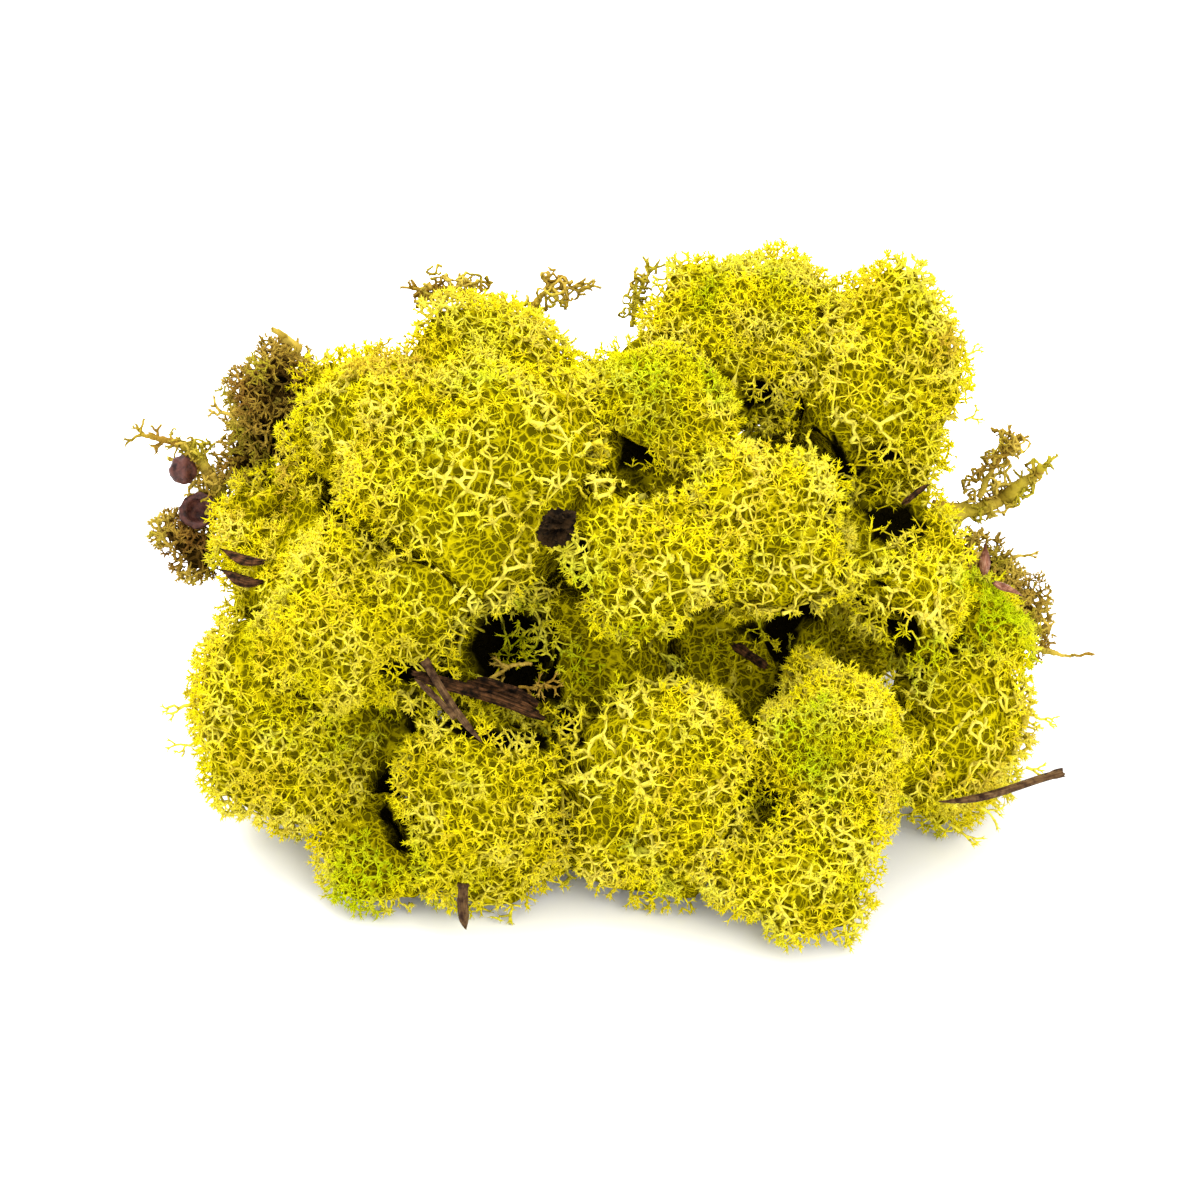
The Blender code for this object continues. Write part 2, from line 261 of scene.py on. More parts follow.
class Strands:
    """Gathers many small closed shapes in arrays, and makes one mesh of them."""

    # The rays of a star: how unevenly they are turned, how far they lean, their length and their chance
    TURN = 0.35
    LEAN = (0.7, 1.25)
    LENGTH = (0.6, 1.15)
    CHANCE = 0.92
    # The ray in the middle: its lean and its chance
    MIDDLE_LEAN = 0.1
    MIDDLE_CHANCE = 0.5
    # Places lower than this, in millimetres, are pressed together above the floor
    PRESSED = 1

    def __init__(self, rng: Generator) -> None:
        """Start with nothing gathered."""
        self.rng = rng
        self.points: list[Array] = []
        self.faces: list[Array] = []
        self.traits: list[Array] = []
        self.finishes: list[Array] = []
        self.count = 0

    def gather(self, points: Array, faces: Array, traits: Array, finish: int = 0) -> None:
        """Add a closed shape.

        Args:
            points: Its points in millimetres.
            faces: Its triangles, which number the points from 0.
            traits: Four traits for each point.
            finish: Which of the piece's materials it has.
        """
        self.points.append(points)
        self.faces.append(faces + self.count)
        self.traits.append(traits)
        self.finishes.append(np.full(len(faces), finish))
        self.count += len(points)

    def add_rods(
        self, shape: Shape, starts: Array, ends: Array, radii: Array, traits: Array,
        bows: Array | None = None,
    ) -> None:
        """Lay a copy of the shape along each line.

        Args:
            shape: The rod that is repeated.
            starts: First point of each line.
            ends: Last point of each line.
            radii: Radius at the start, middle and end of each line.
            traits: Traits at the start and end of each line, as an array of lines, 2 and 4.
            bows: How far the middle of each line is moved to the side.
        """
        if not len(starts):
            return
        along = unit(ends - starts)
        aside = unit(np.cross(along, self.rng.normal(size=along.shape)))
        across = np.cross(along, aside)
        x, y, z = shape.points.T
        share = z[None, :]
        middle = 4 * share * (1 - share)
        end_mix = radii[:, :1] * (1 - share) + radii[:, 2:] * share
        radius = end_mix * (1 - middle) + radii[:, 1:2] * middle
        points = starts[:, None] + (ends - starts)[:, None] * share[..., None]
        points = points + (radius * x)[..., None] * aside[:, None]
        points = points + (radius * y)[..., None] * across[:, None]
        if bows is not None:
            points = points + bows[:, None] * middle[..., None]
        mixed = traits[:, :1] * (1 - share[..., None]) + traits[:, 1:] * share[..., None]
        steps = np.arange(len(starts))[:, None, None] * len(shape.points)
        faces = (shape.faces + steps).reshape(-1, 3)
        self.gather(points.reshape(-1, 3), faces, mixed.reshape(-1, 4))

    def add_stars(
        self, centres: Array, ways: Array, traits: Array, radius: float, length: float, rays: int
    ) -> None:
        """Add stars of pointed rays, which lean out round their direction.

        Args:
            centres: Where each star's rays start.
            ways: Direction of each star.
            traits: Traits of each star at its centre.
            radius: Radius of a ray where it starts.
            length: Mean length of a ray.
            rays: Rays in a star, with one along its direction.
        """
        rng = self.rng
        aside = unit(np.cross(ways, rng.normal(size=ways.shape)))
        across = np.cross(ways, aside)
        turn = rng.uniform(0, TAU, len(ways))
        tip = traits.copy()
        tip[:, 0] = 1.0
        for k in range(rays):
            middle = k == rays - 1
            angle = turn + TAU * k / (rays - 1) + rng.normal(size=len(ways)) * self.TURN
            lean = np.full(len(ways), self.MIDDLE_LEAN) if middle else rng.uniform(*self.LEAN, len(ways))
            side = np.cos(angle)[:, None] * aside + np.sin(angle)[:, None] * across
            way = unit(ways + lean[:, None] * side)
            some = rng.random(len(ways)) < (self.MIDDLE_CHANCE if middle else self.CHANCE)
            reach = length * rng.uniform(*self.LENGTH, len(ways))
            starts, ends = centres - way * radius * 0.5, centres + way * reach[:, None]
            radii, pairs = np.full((some.sum(), 3), radius), np.stack([traits[some], tip[some]], axis=1)
            self.add_rods(SPIKE, starts[some], ends[some], radii, pairs)

    def make_mesh(self, name: str) -> Mesh:
        """One mesh of all that was gathered, in metres, with the traits as a colour attribute."""
        points = np.concatenate(self.points)
        height = points[:, 2]
        points[:, 2] = np.where(height < self.PRESSED, np.exp(height - self.PRESSED), height)
        points = points * MM
        faces = np.concatenate(self.faces)
        data = bpy.data.meshes.new(name)
        data.vertices.add(len(points))
        data.vertices.foreach_set("co", points.astype(np.float32).ravel())
        data.loops.add(faces.size)
        data.loops.foreach_set("vertex_index", faces.astype(np.int32).ravel())
        data.polygons.add(len(faces))
        data.polygons.foreach_set("loop_start", np.arange(0, faces.size, 3, dtype=np.int32))
        data.polygons.foreach_set("material_index", np.concatenate(self.finishes).astype(np.int32))
        data.update(calc_edges=True)
        return keep_traits(data, np.concatenate(self.traits))


class Envelope:
    """The smoothed outer form of one CAD node, in millimetres."""

    ROUNDING = 0.6
    TURNED_AWAY = (0.15, 0.6)

    def __init__(self, node: str, heap: "Heap", cuts: int = 1) -> None:
        """Copy and merge the node's mesh, round its facets, and let it flow into its neighbours.

        Args:
            node: Name of the CAD node.
            heap: All solids of the heap.
            cuts: How often each edge is divided.
        """
        mesh = node_mesh(node, cuts, self.ROUNDING)
        self.points = heap.blend(node, read_points(mesh), read_normals(mesh))
        place_points(mesh, self.points)
        self.node = node
        self.normals = read_normals(mesh)
        self.faces = read_faces(mesh)
        mesh.free()
        self.tree = BVHTree.FromPolygons(self.points.tolist(), self.faces.tolist())
        self.open = np.ones(len(self.faces))
        self.unseen = np.zeros(len(self.faces))

    def measure_openness(self, heap: "Heap") -> None:
        """Find how open to the air each face is, and how far the photograph's view misses it."""
        corners = self.points[self.faces]
        centres = corners.mean(axis=1)
        normals = unit(self.normals[self.faces].mean(axis=1))
        self.open = heap.openness(self.node, centres, normals)
        turned_away = ease(-normals @ TOWARDS_VIEWER, *self.TURNED_AWAY)
        self.unseen = np.maximum(turned_away, heap.hidden(self.node, centres))

    def nearest(self, points: Array) -> tuple[Array, Array, Array]:
        """Look up the nearest place of the envelope.

        Args:
            points: Points in millimetres.

        Returns:
            The depth of each point under the envelope, the outward direction there, and how open it is.
        """
        depth = np.empty(len(points))
        out = np.empty((len(points), 3))
        face = np.empty(len(points), int)
        for i, point in enumerate(points.tolist()):
            place, normal, face[i], distance = self.tree.find_nearest(point)
            outside = (Vector(point) - place).dot(normal) > 0
            depth[i] = -distance if outside else distance
            out[i] = normal
        smooth = unit(self.normals[self.faces[face]].mean(axis=1))
        return depth, unit(out + smooth), self.open[face]

    def scatter(self, count: int, weights: Array, rng: Generator) -> tuple:
        """Random places on the envelope.

        Args:
            count: How many.
            weights: Share of each face beside its area.
            rng: Makes the random choice.

        Returns:
            The places, the outward directions there, how open they are, and how unseen.
        """
        chosen = rng.choice(len(self.faces), count, p=weights / weights.sum())
        a, b = rng.random((2, count, 1))
        fold = a + b > 1
        a, b = np.where(fold, 1 - a, a), np.where(fold, 1 - b, b)
        corners = self.points[self.faces[chosen]]
        normals = self.normals[self.faces[chosen]]
        mix = (1 - a - b, a, b)
        places = sum(m * corners[:, i] for i, m in enumerate(mix))
        normals = unit(sum(m * normals[:, i] for i, m in enumerate(mix)))
        return places, normals, self.open[chosen], self.unseen[chosen]

    def areas(self) -> Array:
        """Area of each face in square millimetres."""
        a, b, c = self.points[self.faces].transpose(1, 0, 2)
        return np.linalg.norm(np.cross(b - a, c - a), axis=1) / 2


class Heap:
    """All solids of the heap together: how they flow into each other, and which places they cover."""

    # The ways out of a place: how many, how long, where they start, how level, and how far down
    WAYS_OUT = 14
    REACH = 9.0
    LIFT = 0.25
    WIDEST = 0.85
    FLOOR = -1
    # How far towards the viewer the search for what hides a place starts
    VIEW_LIFT = 8
    # How forms flow together: from which distance, how far at most, and how deep in a neighbour it ends
    BLEND = 11.0
    MOST = 3.2
    BURIED = (-5, -1)
    ROUNDS = 3
    # Size and seed of the bumps on a form, of a millimetre each
    BUMPS = ((9, 3), (18, 4))

    def __init__(self, nodes: list[str]) -> None:
        """Read the nodes' faces."""
        self.forms: dict[str, tuple[Array, Array]] = {}
        for node in nodes:
            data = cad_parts[node].data
            data.calc_loop_triangles()
            points = np.array([v.co for v in data.vertices]) / MM
            self.forms[node] = points, np.array([t.vertices for t in data.loop_triangles])
        self.trees = {node: self._join([node]) for node in nodes}
        turn = np.arange(self.WAYS_OUT) * math.pi * (3 - math.sqrt(5))
        height = 1 - (np.arange(self.WAYS_OUT) + 0.5) / self.WAYS_OUT * self.WIDEST
        level = np.sqrt(1 - height**2)
        self.ways = np.stack([level * np.cos(turn), level * np.sin(turn), height], axis=1)

    def _join(self, nodes: list[str]) -> BVHTree:
        """One tree of the faces of these nodes."""
        points, faces, count = [], [], 0
        for node in nodes:
            points.append(self.forms[node][0])
            faces.append(self.forms[node][1] + count)
            count += len(points[-1])
        return BVHTree.FromPolygons(np.concatenate(points).tolist(), np.concatenate(faces).tolist())

    def _gap(self, node: str, points: Array) -> Array:
        """How far each point is outside the other solids, or inside them as a negative number."""
        result = np.full(len(points), 3 * self.BLEND)
        for other, (corners, _) in self.forms.items():
            low, high = corners.min(axis=0) - self.BLEND, corners.max(axis=0) + self.BLEND
            inside = ((points > low) & (points < high)).all(axis=1)
            if other != node and inside.any():
                away = distances(self.trees[other], points[inside])
                result[inside] = np.minimum(result[inside], away)
        return result

    def blend(self, node: str, points: Array, normals: Array) -> Array:
        """Push the points of a node's form out beside its neighbours, so that the forms flow together.

        Args:
            node: Name of the CAD node.
            points: Points on its form.
            normals: Outward directions there.

        Returns:
            The moved points.
        """
        out = np.zeros(len(points))
        buried = ease(self._gap(node, points), *self.BURIED)
        for _ in range(self.ROUNDS):
            away = self._gap(node, points + normals * out[:, None])
            near = np.clip(self.BLEND - np.abs(out - away), 0, None) ** 2 / (4 * self.BLEND)
            out = np.clip(out - (np.minimum(out, away) - near), 0, self.MOST)
        out = out * buried * (1 - strength_at(points, CREVICES))
        for size, seed in self.BUMPS:
            out = out + Ripple(size, seed).at(points)
        out = out - depth_at(points, DENTS if node.startswith("cushion") else DEAD_DENTS)
        moved = points + normals * out[:, None]
        moved[:, 2] = np.maximum(moved[:, 2], np.minimum(points[:, 2], LOWEST))
        return moved

    def hidden(self, node: str, places: Array) -> Array:
        """Tell which places on a node's form are behind its neighbours in the photograph, as 1 or 0."""
        others = self._join([other for other in self.forms if other != node])
        starts = places + self.VIEW_LIFT * TOWARDS_VIEWER
        way = Vector(TOWARDS_VIEWER)
        return np.array([float(others.ray_cast(Vector(start), way)[0] is not None) for start in starts])

    def openness(self, node: str, places: Array, normals: Array) -> Array:
        """Find how open places on a node's form are.

        Args:
            node: Name of the CAD node.
            places: Places on its form.
            normals: Outward directions there.

        Returns:
            The share of the ways out of each place that neither its neighbours nor the floor block.
        """
        others = self._join([other for other in self.forms if other != node])
        free = np.zeros(len(places))
        for i, (place, normal) in enumerate(zip(places, normals)):
            turned = Vector(normal).to_track_quat("Z", "Y").to_matrix()
            start = Vector(place + normal * self.LIFT)
            for way in self.ways:
                direction = turned @ Vector(way)
                blocked = start.z + direction.z * self.REACH < self.FLOOR
                blocked = blocked or others.ray_cast(start, direction, self.REACH)[0] is not None
                free[i] += not blocked
        return free / self.WAYS_OUT


def distances(tree: BVHTree, points: Array) -> Array:
    """How far each point is outside the tree's faces, or inside them as a negative number."""
    result = np.empty(len(points))
    for i, point in enumerate(points.tolist()):
        place, normal, _, away = tree.find_nearest(point)
        result[i] = -away if (Vector(point) - place).dot(normal) < 0 else away
    return result


def smooth(points: Array, faces: Array, rounds: int) -> Array:
    """Move each point of a closed mesh to the middle of itself and its neighbours, several times."""
    for _ in range(rounds):
        total, count = points.copy(), np.ones(len(points))
        for here, there in ((0, 1), (1, 2), (2, 0)):
            np.add.at(total, faces[:, here], points[faces[:, there]])
            np.add.at(count, faces[:, here], 1)
        points = total / count[:, None]
    return points


def look_up(points: Array) -> kdtree.KDTree:
    """A tree that finds the points near a place."""
    tree = kdtree.KDTree(len(points))
    for i, point in enumerate(points.tolist()):
        tree.insert(point, i)
    tree.balance()
    return tree


def thin_out(points: Array, gaps: Array) -> Array:
    """Keep points in their order, where each one is at least its own gap away from those already kept.

    Args:
        points: Points in millimetres.
        gaps: Least distance round each point.

    Returns:
        The numbers of the kept points.
    """
    tree = look_up(points)
    free = np.ones(len(points), bool)
    kept = []
    for i, point in enumerate(points.tolist()):
        if free[i]:
            kept.append(i)
            free[[j for _, j, _ in tree.find_range(point, gaps[i])]] = False
    return np.array(kept)


class Foam:
    """The cells round scattered seeds, whose edges are the branches of a net."""

    # Neighbours that are looked at round each seed, and triples of them that are tried together
    NEIGHBOURS = 20
    TRIPLES_AT_ONCE = 300_000
    # The farthest corner of a cell in gaps, the least volume of a triple, and the slack of a distance
    FARTHEST = 1.3
    FLATTEST = 1e-9
    SLACK = 1e-7
    # Rounds in which corners that are to be merged find each other
    MERGES = 8

    def __init__(self, seeds: Array, gaps: Array) -> None:
        """Find the corners and edges of the cells.

        Args:
            seeds: Middle of each cell in millimetres.
            gaps: Distance that the seeds keep there.
        """
        order = np.argsort(seeds[:, 0])
        self.seeds = seeds[order]
        self.gaps = gaps[order]
        self.corners, owners = self._find_corners()
        self.size = self.gaps[owners[:, 0]]
        self.edges = self._find_edges(owners)

    def _near(self) -> Array:
        """The numbers of the seeds nearest to each seed."""
        tree = look_up(self.seeds)
        found = [tree.find_n(seed, self.NEIGHBOURS + 1)[1:] for seed in self.seeds.tolist()]
        return np.array([[i for _, i, _ in row] for row in found])

    def _find_corners(self) -> tuple[Array, Array]:
        """The points at the same distance from four seeds with none nearer, and those four seeds."""
        near = self._near()
        later = near > np.arange(len(near))[:, None]
        near = np.take_along_axis(near, np.argsort(~later, axis=1, kind="stable"), axis=1)
        offsets = self.seeds[near] - self.seeds[:, None]
        limits = (offsets**2).sum(axis=2) / 2
        counts = later.sum(axis=1)
        corners, owners = [], []
        for count in range(3, self.NEIGHBOURS + 1):
            rows = np.nonzero(counts == count)[0]
            triples = np.array(list(combinations(range(count), 3)))
            step = max(1, self.TRIPLES_AT_ONCE // len(triples))
            for first in range(0, len(rows), step):
                some = rows[first : first + step]
                found = self._try_triples(some, triples, offsets, limits)
                corners.append(self.seeds[found[0]] + found[2])
                trio = np.take_along_axis(near[found[0]], found[1], axis=1)
                owners.append(np.column_stack([found[0], trio]))
        return np.concatenate(corners), np.concatenate(owners)

    def _try_triples(
        self, rows: Array, triples: Array, offsets: Array, limits: Array
    ) -> tuple[Array, Array, Array]:
        """Try each triple of neighbours of some seeds.

        Args:
            rows: Numbers of the seeds.
            triples: Places of three neighbours in a seed's list, for each try.
            offsets: From each seed to its neighbours.
            limits: Half the squared length of each offset.

        Returns:
            For each corner that was found, its seed, its triple, and its place from the seed.
        """
        a, b, c = (offsets[rows][:, triples[:, k]].reshape(-1, 3) for k in range(3))
        aa, bb, cc = (limits[rows][:, triples[:, k]].reshape(-1, 1) for k in range(3))
        b_c = np.cross(b, c)
        volume = (a * b_c).sum(axis=1, keepdims=True)
        volume[np.abs(volume) < self.FLATTEST] = self.FLATTEST
        centre = (aa * b_c + bb * np.cross(c, a) + cc * np.cross(a, b)) / volume
        seed = np.repeat(rows, len(triples))
        triple = np.tile(triples, (len(rows), 1))
        close = (centre**2).sum(axis=1) < (self.FARTHEST * self.gaps[seed]) ** 2
        seed, triple, centre = seed[close], triple[close], centre[close]
        reach = np.einsum("nkx,nx->nk", offsets[seed], centre)
        empty = (reach <= limits[seed] + self.SLACK).all(axis=1)
        return seed[empty], triple[empty], centre[empty]

    @staticmethod
    def _find_edges(owners: Array) -> Array:
        """Pairs of corners that share three seeds."""
        owners = np.sort(owners, axis=1).astype(np.int64)
        count = owners.max() + 1
        keys, corner = [], []
        for left_out in range(4):
            a, b, c = np.delete(owners, left_out, axis=1).T
            keys.append((a * count + b) * count + c)
            corner.append(np.arange(len(owners)))
        keys, corner = np.concatenate(keys), np.concatenate(corner)
        order = np.argsort(keys, kind="stable")
        keys, corner = keys[order], corner[order]
        pairs = np.nonzero(keys[1:] == keys[:-1])[0]
        return np.column_stack([corner[pairs], corner[pairs + 1]])

    def weld_short_edges(self, share: float) -> None:
        """Merge the corners that are nearer to each other than this share of a cell."""
        a, b = self.edges.T
        lengths = np.linalg.norm(self.corners[a] - self.corners[b], axis=1)
        short = self.edges[lengths < share * np.minimum(self.size[a], self.size[b])]
        label = np.arange(len(self.corners))
        for _ in range(self.MERGES):
            least = np.minimum(label[short[:, 0]], label[short[:, 1]])
            np.minimum.at(label, short[:, 0], least)
            np.minimum.at(label, short[:, 1], least)
            label = label[label]
        kept, label = np.unique(label, return_inverse=True)
        total = np.zeros((len(kept), 3))
        np.add.at(total, label, self.corners)
        count = np.bincount(label)[:, None]
        self.corners = total / count
        self.size = self.size[kept]
        edges = np.sort(label[self.edges], axis=1)
        self.edges = np.unique(edges[edges[:, 0] != edges[:, 1]], axis=0)

    def relax(self, share: float) -> None:
        """Move each corner part of the way to the middle of its neighbours."""
        a, b = self.edges.T
        total = np.zeros_like(self.corners)
        np.add.at(total, a, self.corners[b])
        np.add.at(total, b, self.corners[a])
        count = np.bincount(self.edges.ravel(), minlength=len(total))[:, None]
        middle = np.where(count > 0, total / np.maximum(count, 1), self.corners)
        self.corners += share * (middle - self.corners)


# Where the net has wide holes and pale branches, where it is close, and where it is green
OPEN_SPOTS = make_spots(
    (-8, -17, 88, 11), (-20, -21, 83, 9, 0.8), (-32, -27, 81, 8, 0.6), (-27, -26, 65, 11),
    (13, -30, 46, 8, 0.8), (-2, -44, 42, 10), (-1, -54, 28, 8, 0.9), (14, -35, 68, 9, 0.7),
    (50, 3, 85, 10, 0.5), (72, -30, 32, 12, 0.9), (60, -22, 58, 9, 0.7), (-53, 2, 84, 8, 0.6),
    (36, -26, 60, 9, 0.7),
)
CLOSE_SPOTS = make_spots(
    (-25, 4, 104, 15), (-46, 11, 92, 10), (28, 20, 100, 13), (46, -44, 42, 10), (-2, -34, 63, 9, 0.6),
)
GREEN_SPOTS = make_spots(
    (-23, -8, 103, 8, 0.8), (-35, -21, 95, 7, 0.8), (9, 4, 94, 12, 1.0), (-2, -34, 63, 10, 0.9),
    (40, -47, 42, 10, 1.0), (20, 22, 101, 7, 0.7), (75, -8, 46, 13, 0.9), (62, -22, 43, 8, 0.8),
    (-46, -45, 14, 14, 0.7), (-50, -28, 34, 12, 0.6), (10, -56, 8, 12, 0.6), (-10, -20, 45, 12, 0.7),
)

# Hollows between the cushions, which lose branches and are painted dark as shade; creases where they don't
# flow together, which also get painted shade; and where they are pushed in
HOLLOWS = make_spots(
    (-31, -23, 44, 8), (-23, -18, 43, 8.5), (-23, -20, 51, 4), (-14, -21, 38, 7.5), (-8, -31, 32, 5),
    (-32, -31, 40, 5.5), (-37, -36, 45, 6, 0.8), (-29, -38, 45, 6), (-20, -37, 43, 6), (-12, -36, 38, 5),
    (39, -9, 40, 9), (46, -17, 42, 8), (53, -23, 45, 7), (27, -14, 44, 5, 0.8), (46, -9, 72, 6),
    (54, -6, 70, 8), (61, -3, 69, 5), (28, 11, 79, 5), (4, -5, 79, 5), (-10, -27, 75, 5, 0.8),
    (57, -24, 61, 2.5), (66, -19, 57, 2.5), (50, -22, 60, 3), (-67, 22, 79, 4), (-74, 22, 66, 4),
    (-66, 22, 62, 4),
)
CREVICES = make_spots(
    (-12, -47, 36, 9), (-13, -52, 22, 10), (-13, -50, 8, 9), (-44, -34, 32, 11), (-42, -42, 18, 9),
    (-47, -29, 64, 6, 0.5), (-37, -32, 56, 8, 0.8), (4, -7, 81, 9), (27, 10, 81, 8), (42, -14, 42, 12),
    (52, -8, 70, 10), (26, -33, 42, 8), (-20, -20, 44, 12), (-5, -24, 50, 8),
)
DENTS = make_spots(
    (-72, 5, 69, 13, 10.0), (-72, 20, 66, 10, 6.0), (-79, 12, 60, 8, 3.5), (-72, 12, 62, 9, 4.0),
    (-65, 3, 77, 7, 4.0), (-64, 18, 84, 9, 4.5), (-47, -31, 60, 7, 1.5), (-36, -32, 55, 7, 3.0),
    (49, -23, 46, 8, 4.0), (54, -9, 71, 8, 3.0), (-23, -17, 44, 8, 4.0), (-29, 18, 102, 9, 2.5),
    (-16, 20, 97, 8, -1.5), (-38, -20, 25, 12, -5.0), (-32, -5, 24, 11, -6.0), (22, -17, 20, 14, -10.0),
    (-26, -18, 20, 10, -6.0), (32, 20, 26, 12, -7.0), (49, -4, 15, 12, -8.0), (60, -10, 36, 7, -2.5),
    (74, -2, 55, 8, 3.5),
)
# Painted shadow: spots where the branches are darkened for the shade that the cushions around them cast
SHADOW_SPOTS = make_spots(
    (-47, -30, 48, 20, 0.7), (-24, -50, 25, 17, 0.4), (-2, -20, 40, 15, 0.5), (27, -17, 40, 13, 0.5),
)
DEAD_DENTS = make_spots((83, 18, 42, 14, -3.0), (-79, 27, 57, 8, -4.0), (86, 18, 27, 11, -5.5))
TAN_SPOTS = make_spots(
    (-44, 8, 98, 13, 0.35), (70, -30, 30, 14, 0.5), (-75, -16, 30, 13, 0.25), (-55, -38, 20, 10, 0.25),
    (62, 18, 92, 9, 0.3), (18, -52, 30, 9, 0.3), (-68, 4, 60, 10, 0.3),
)


@dataclass(frozen=True)
class Stray:
    """A loose branch that leaves the heap: its end, length and radius in millimetres, and its forks."""

    end: Triple
    length: float
    radius: float = 0.35
    forks: int = 2


@dataclass(frozen=True)
class Variation:
    """A variation of a piece: the size of its bumps in millimetres, and how its seed differs."""

    size: float
    seed: int

    def at(self, points: Array, seed: int) -> Array:
        """The variation at each point of a piece with this seed, from -1 to 1."""
        return Ripple(self.size, seed + self.seed).at(points)


@dataclass
class Cushion:
    """A cushion of lichen: a net of branches with star shaped tips, over the mass of deeper branches."""

    node: str
    net: Net = Net.EVEN
    green: float = 0.0
    tips: float = 1.0
    slot: str = "lime_lichen"
    seed: int = 0
    relief: float = 1.3
    top: float = 0.6
    lost_share: float = 0.15
    ray_length: float = 1.25
    ray_radius: float = 0.19
    rays: int = 4
    bow: float = 0.07
    coarse: float = 1.5
    mottle: float = 0.3
    strays: tuple[Stray, ...] = ()

    # Openness under which nothing grows, and the openness of a crevice
    SHUT = 0.04
    CREVICE = (0.15, 0.5)
    # The share that is added to a gap of the net in open spots, taken away in close ones, added in crevices
    WIDER = 0.75
    CLOSER = 0.15
    CREVICE_WIDER = 0.2
    # The seeds: their least gap in spacings, the room and the tries for them in gaps, how far above and
    # below the net they lie, and the share that lies outside it
    LEAST_GAP = 0.75
    ROOM = 1.6
    TRIES = 4.4
    ABOVE = 0.8
    BELOW = 0.8
    OUTER_SHARE = 0.25
    # Shares of a cell under which edges are merged, and by which corners move to their neighbours
    WELDED = 0.3
    RELAXED = 0.35
    # How the surface, the thickness and the hue of the branches vary, and the lumps of the mass
    RELIEF = Variation(4.5, 50)
    THICKNESS = Variation(5.0, 90)
    HUE = Variation(7.0, 7)
    LUMPS = Variation(3.2, 20)
    FINE_LUMPS = Variation(1.7, 21)
    # The radius of a branch: how it grows with the gap, its limit, how it varies, at its ends and middle
    RADIUS_POWER = 1.2
    THICKEST = 0.44
    THICKER = 0.35
    UNEVEN = (0.85, 1.15)
    END_RADIUS = 1.15
    MIDDLE_RADIUS = 0.8
    # Branches bend nearer to the envelope and longer than this in millimetres, or shorter if they bow more
    BENT_DEPTH = 2.5
    BENT_LENGTH = 1.7
    PLAIN_BOW = 0.07
    BENT_SOONER = 5
    # Share of the branches that a hollow or an open spot takes away
    HOLLOW_LOSS = 0.85
    OPEN_LOSS = 0.5
    # Twigs that rise to the envelope: where they end, the least drop, and the share, length, lean and radius
    TWIG_TOP = 0.9
    LEAST_DROP = 0.3
    TWIG_SHARE = (0.2, 1)
    TWIG_LENGTH = (0.6, 2.4)
    TWIG_LEAN = 0.5
    TWIG_RADIUS = 0.8
    # Tips on the corners near the envelope: how deep, how likely, how uneven, how long and how thick
    TIP_DEPTH = 1.6
    TIP_CHANCE = 0.75
    TIP_LEAN = 0.55
    TIP_LENGTH = (0.7, 1.6)
    TIP_RADIUS = 0.75
    # How near the tip a branch and a twig's end count, and how much wider a twig and its foot may be
    ON_BRANCH = 0.1
    AT_STAR = 0.75
    STAR_WIDTH = 1.25
    TWIG_FOOT = 1.3
    # How strongly green spots, random grains, thickness and open spots change the hue and the paleness
    GREENER = 0.55
    GRAIN = 0.08
    PALENESS = 0.4
    PALER = 0.5
    # Painted shade on the branches, where they count as deep: from this depth, in places shut from the air,
    # and in crevices
    SHADE_FROM = 1.5
    SHUT_AIR = (0.05, 0.5)
    SHUT_SHADE = 0.6
    CREVICE_SHADE = 0.55
    # The mass: how far it lies under the net, at most as a share of the cushion, its lumps and its hollows
    UNDER_NET = 0.9
    UNDER_SHARE = 0.3
    FINER = 0.6
    LUMP = 0.7
    HOLLOW_DEPTH = 5.0
    HOLLOW_SHARE = 0.2
    # The mass comes near the envelope where that is shut from the air, and not near the floor
    EXPOSED_AIR = (0.0, 0.25)
    FLOOR_ZONE = (4, 9)
    NEAREST = 0.15
    SMOOTHINGS = 3
    # Painted shade on the mass: how dark it is where it is shut from the air, how much air lightens it, and
    # how its lumps and the hollows darken it
    DARKEST = 0.9
    LIGHTENED = 0.85
    LIT_AIR = (0.2, 0.75)
    LUMP_SHADE = 0.2
    HOLLOW_SHADE = 1.3
    # Traits and share of the length of a loose branch's first twig
    STRAY_TRAITS = (0.2, 0.5, 0.0, 0.6)
    STRAY_TWIG = 0.6

    def gap_at(self, places: Array, air: Array, unseen: Array) -> Array:
        """How far apart the cells of the net are.

        Args:
            places: Places on the envelope.
            air: How open each one is.
            unseen: How far the photograph's view misses it.

        Returns:
            The gap at each place.
        """
        wide, close = strength_at(places, OPEN_SPOTS), strength_at(places, CLOSE_SPOTS)
        spread = self.WIDER * wide - self.CLOSER * close
        crevice = 1 - ease(air, *self.CREVICE)
        gap = self.net.value.spacing * (1 + spread) * (1 + self.coarse * unseen)
        return gap * (1 + self.CREVICE_WIDER * crevice)

    def sow(self, envelope: Envelope, rng: Generator) -> tuple[Array, Array]:
        """Scatter the middles of the cells under the open part of the envelope.

        Args:
            envelope: The cushion's outer form.
            rng: Makes the random choice.

        Returns:
            The seeds, and the gap that each one keeps.
        """
        depth = self.net.value.depth
        weights = envelope.areas() * (envelope.open > self.SHUT)
        least = self.net.value.spacing * self.LEAST_GAP
        volume = weights.sum() * (depth + self.ROOM * least)
        count = int(self.TRIES * volume / least**3)
        places, normals, air, unseen = envelope.scatter(count, weights, rng)
        gaps = self.gap_at(places, air, unseen)
        under = rng.uniform(-self.ABOVE, depth + self.BELOW * gaps)
        under = np.where(rng.random(count) < self.OUTER_SHARE, -rng.random(count) * gaps, under)
        seeds = places - normals * under[:, None]
        kept = thin_out(seeds, gaps)
        return seeds[kept], gaps[kept]

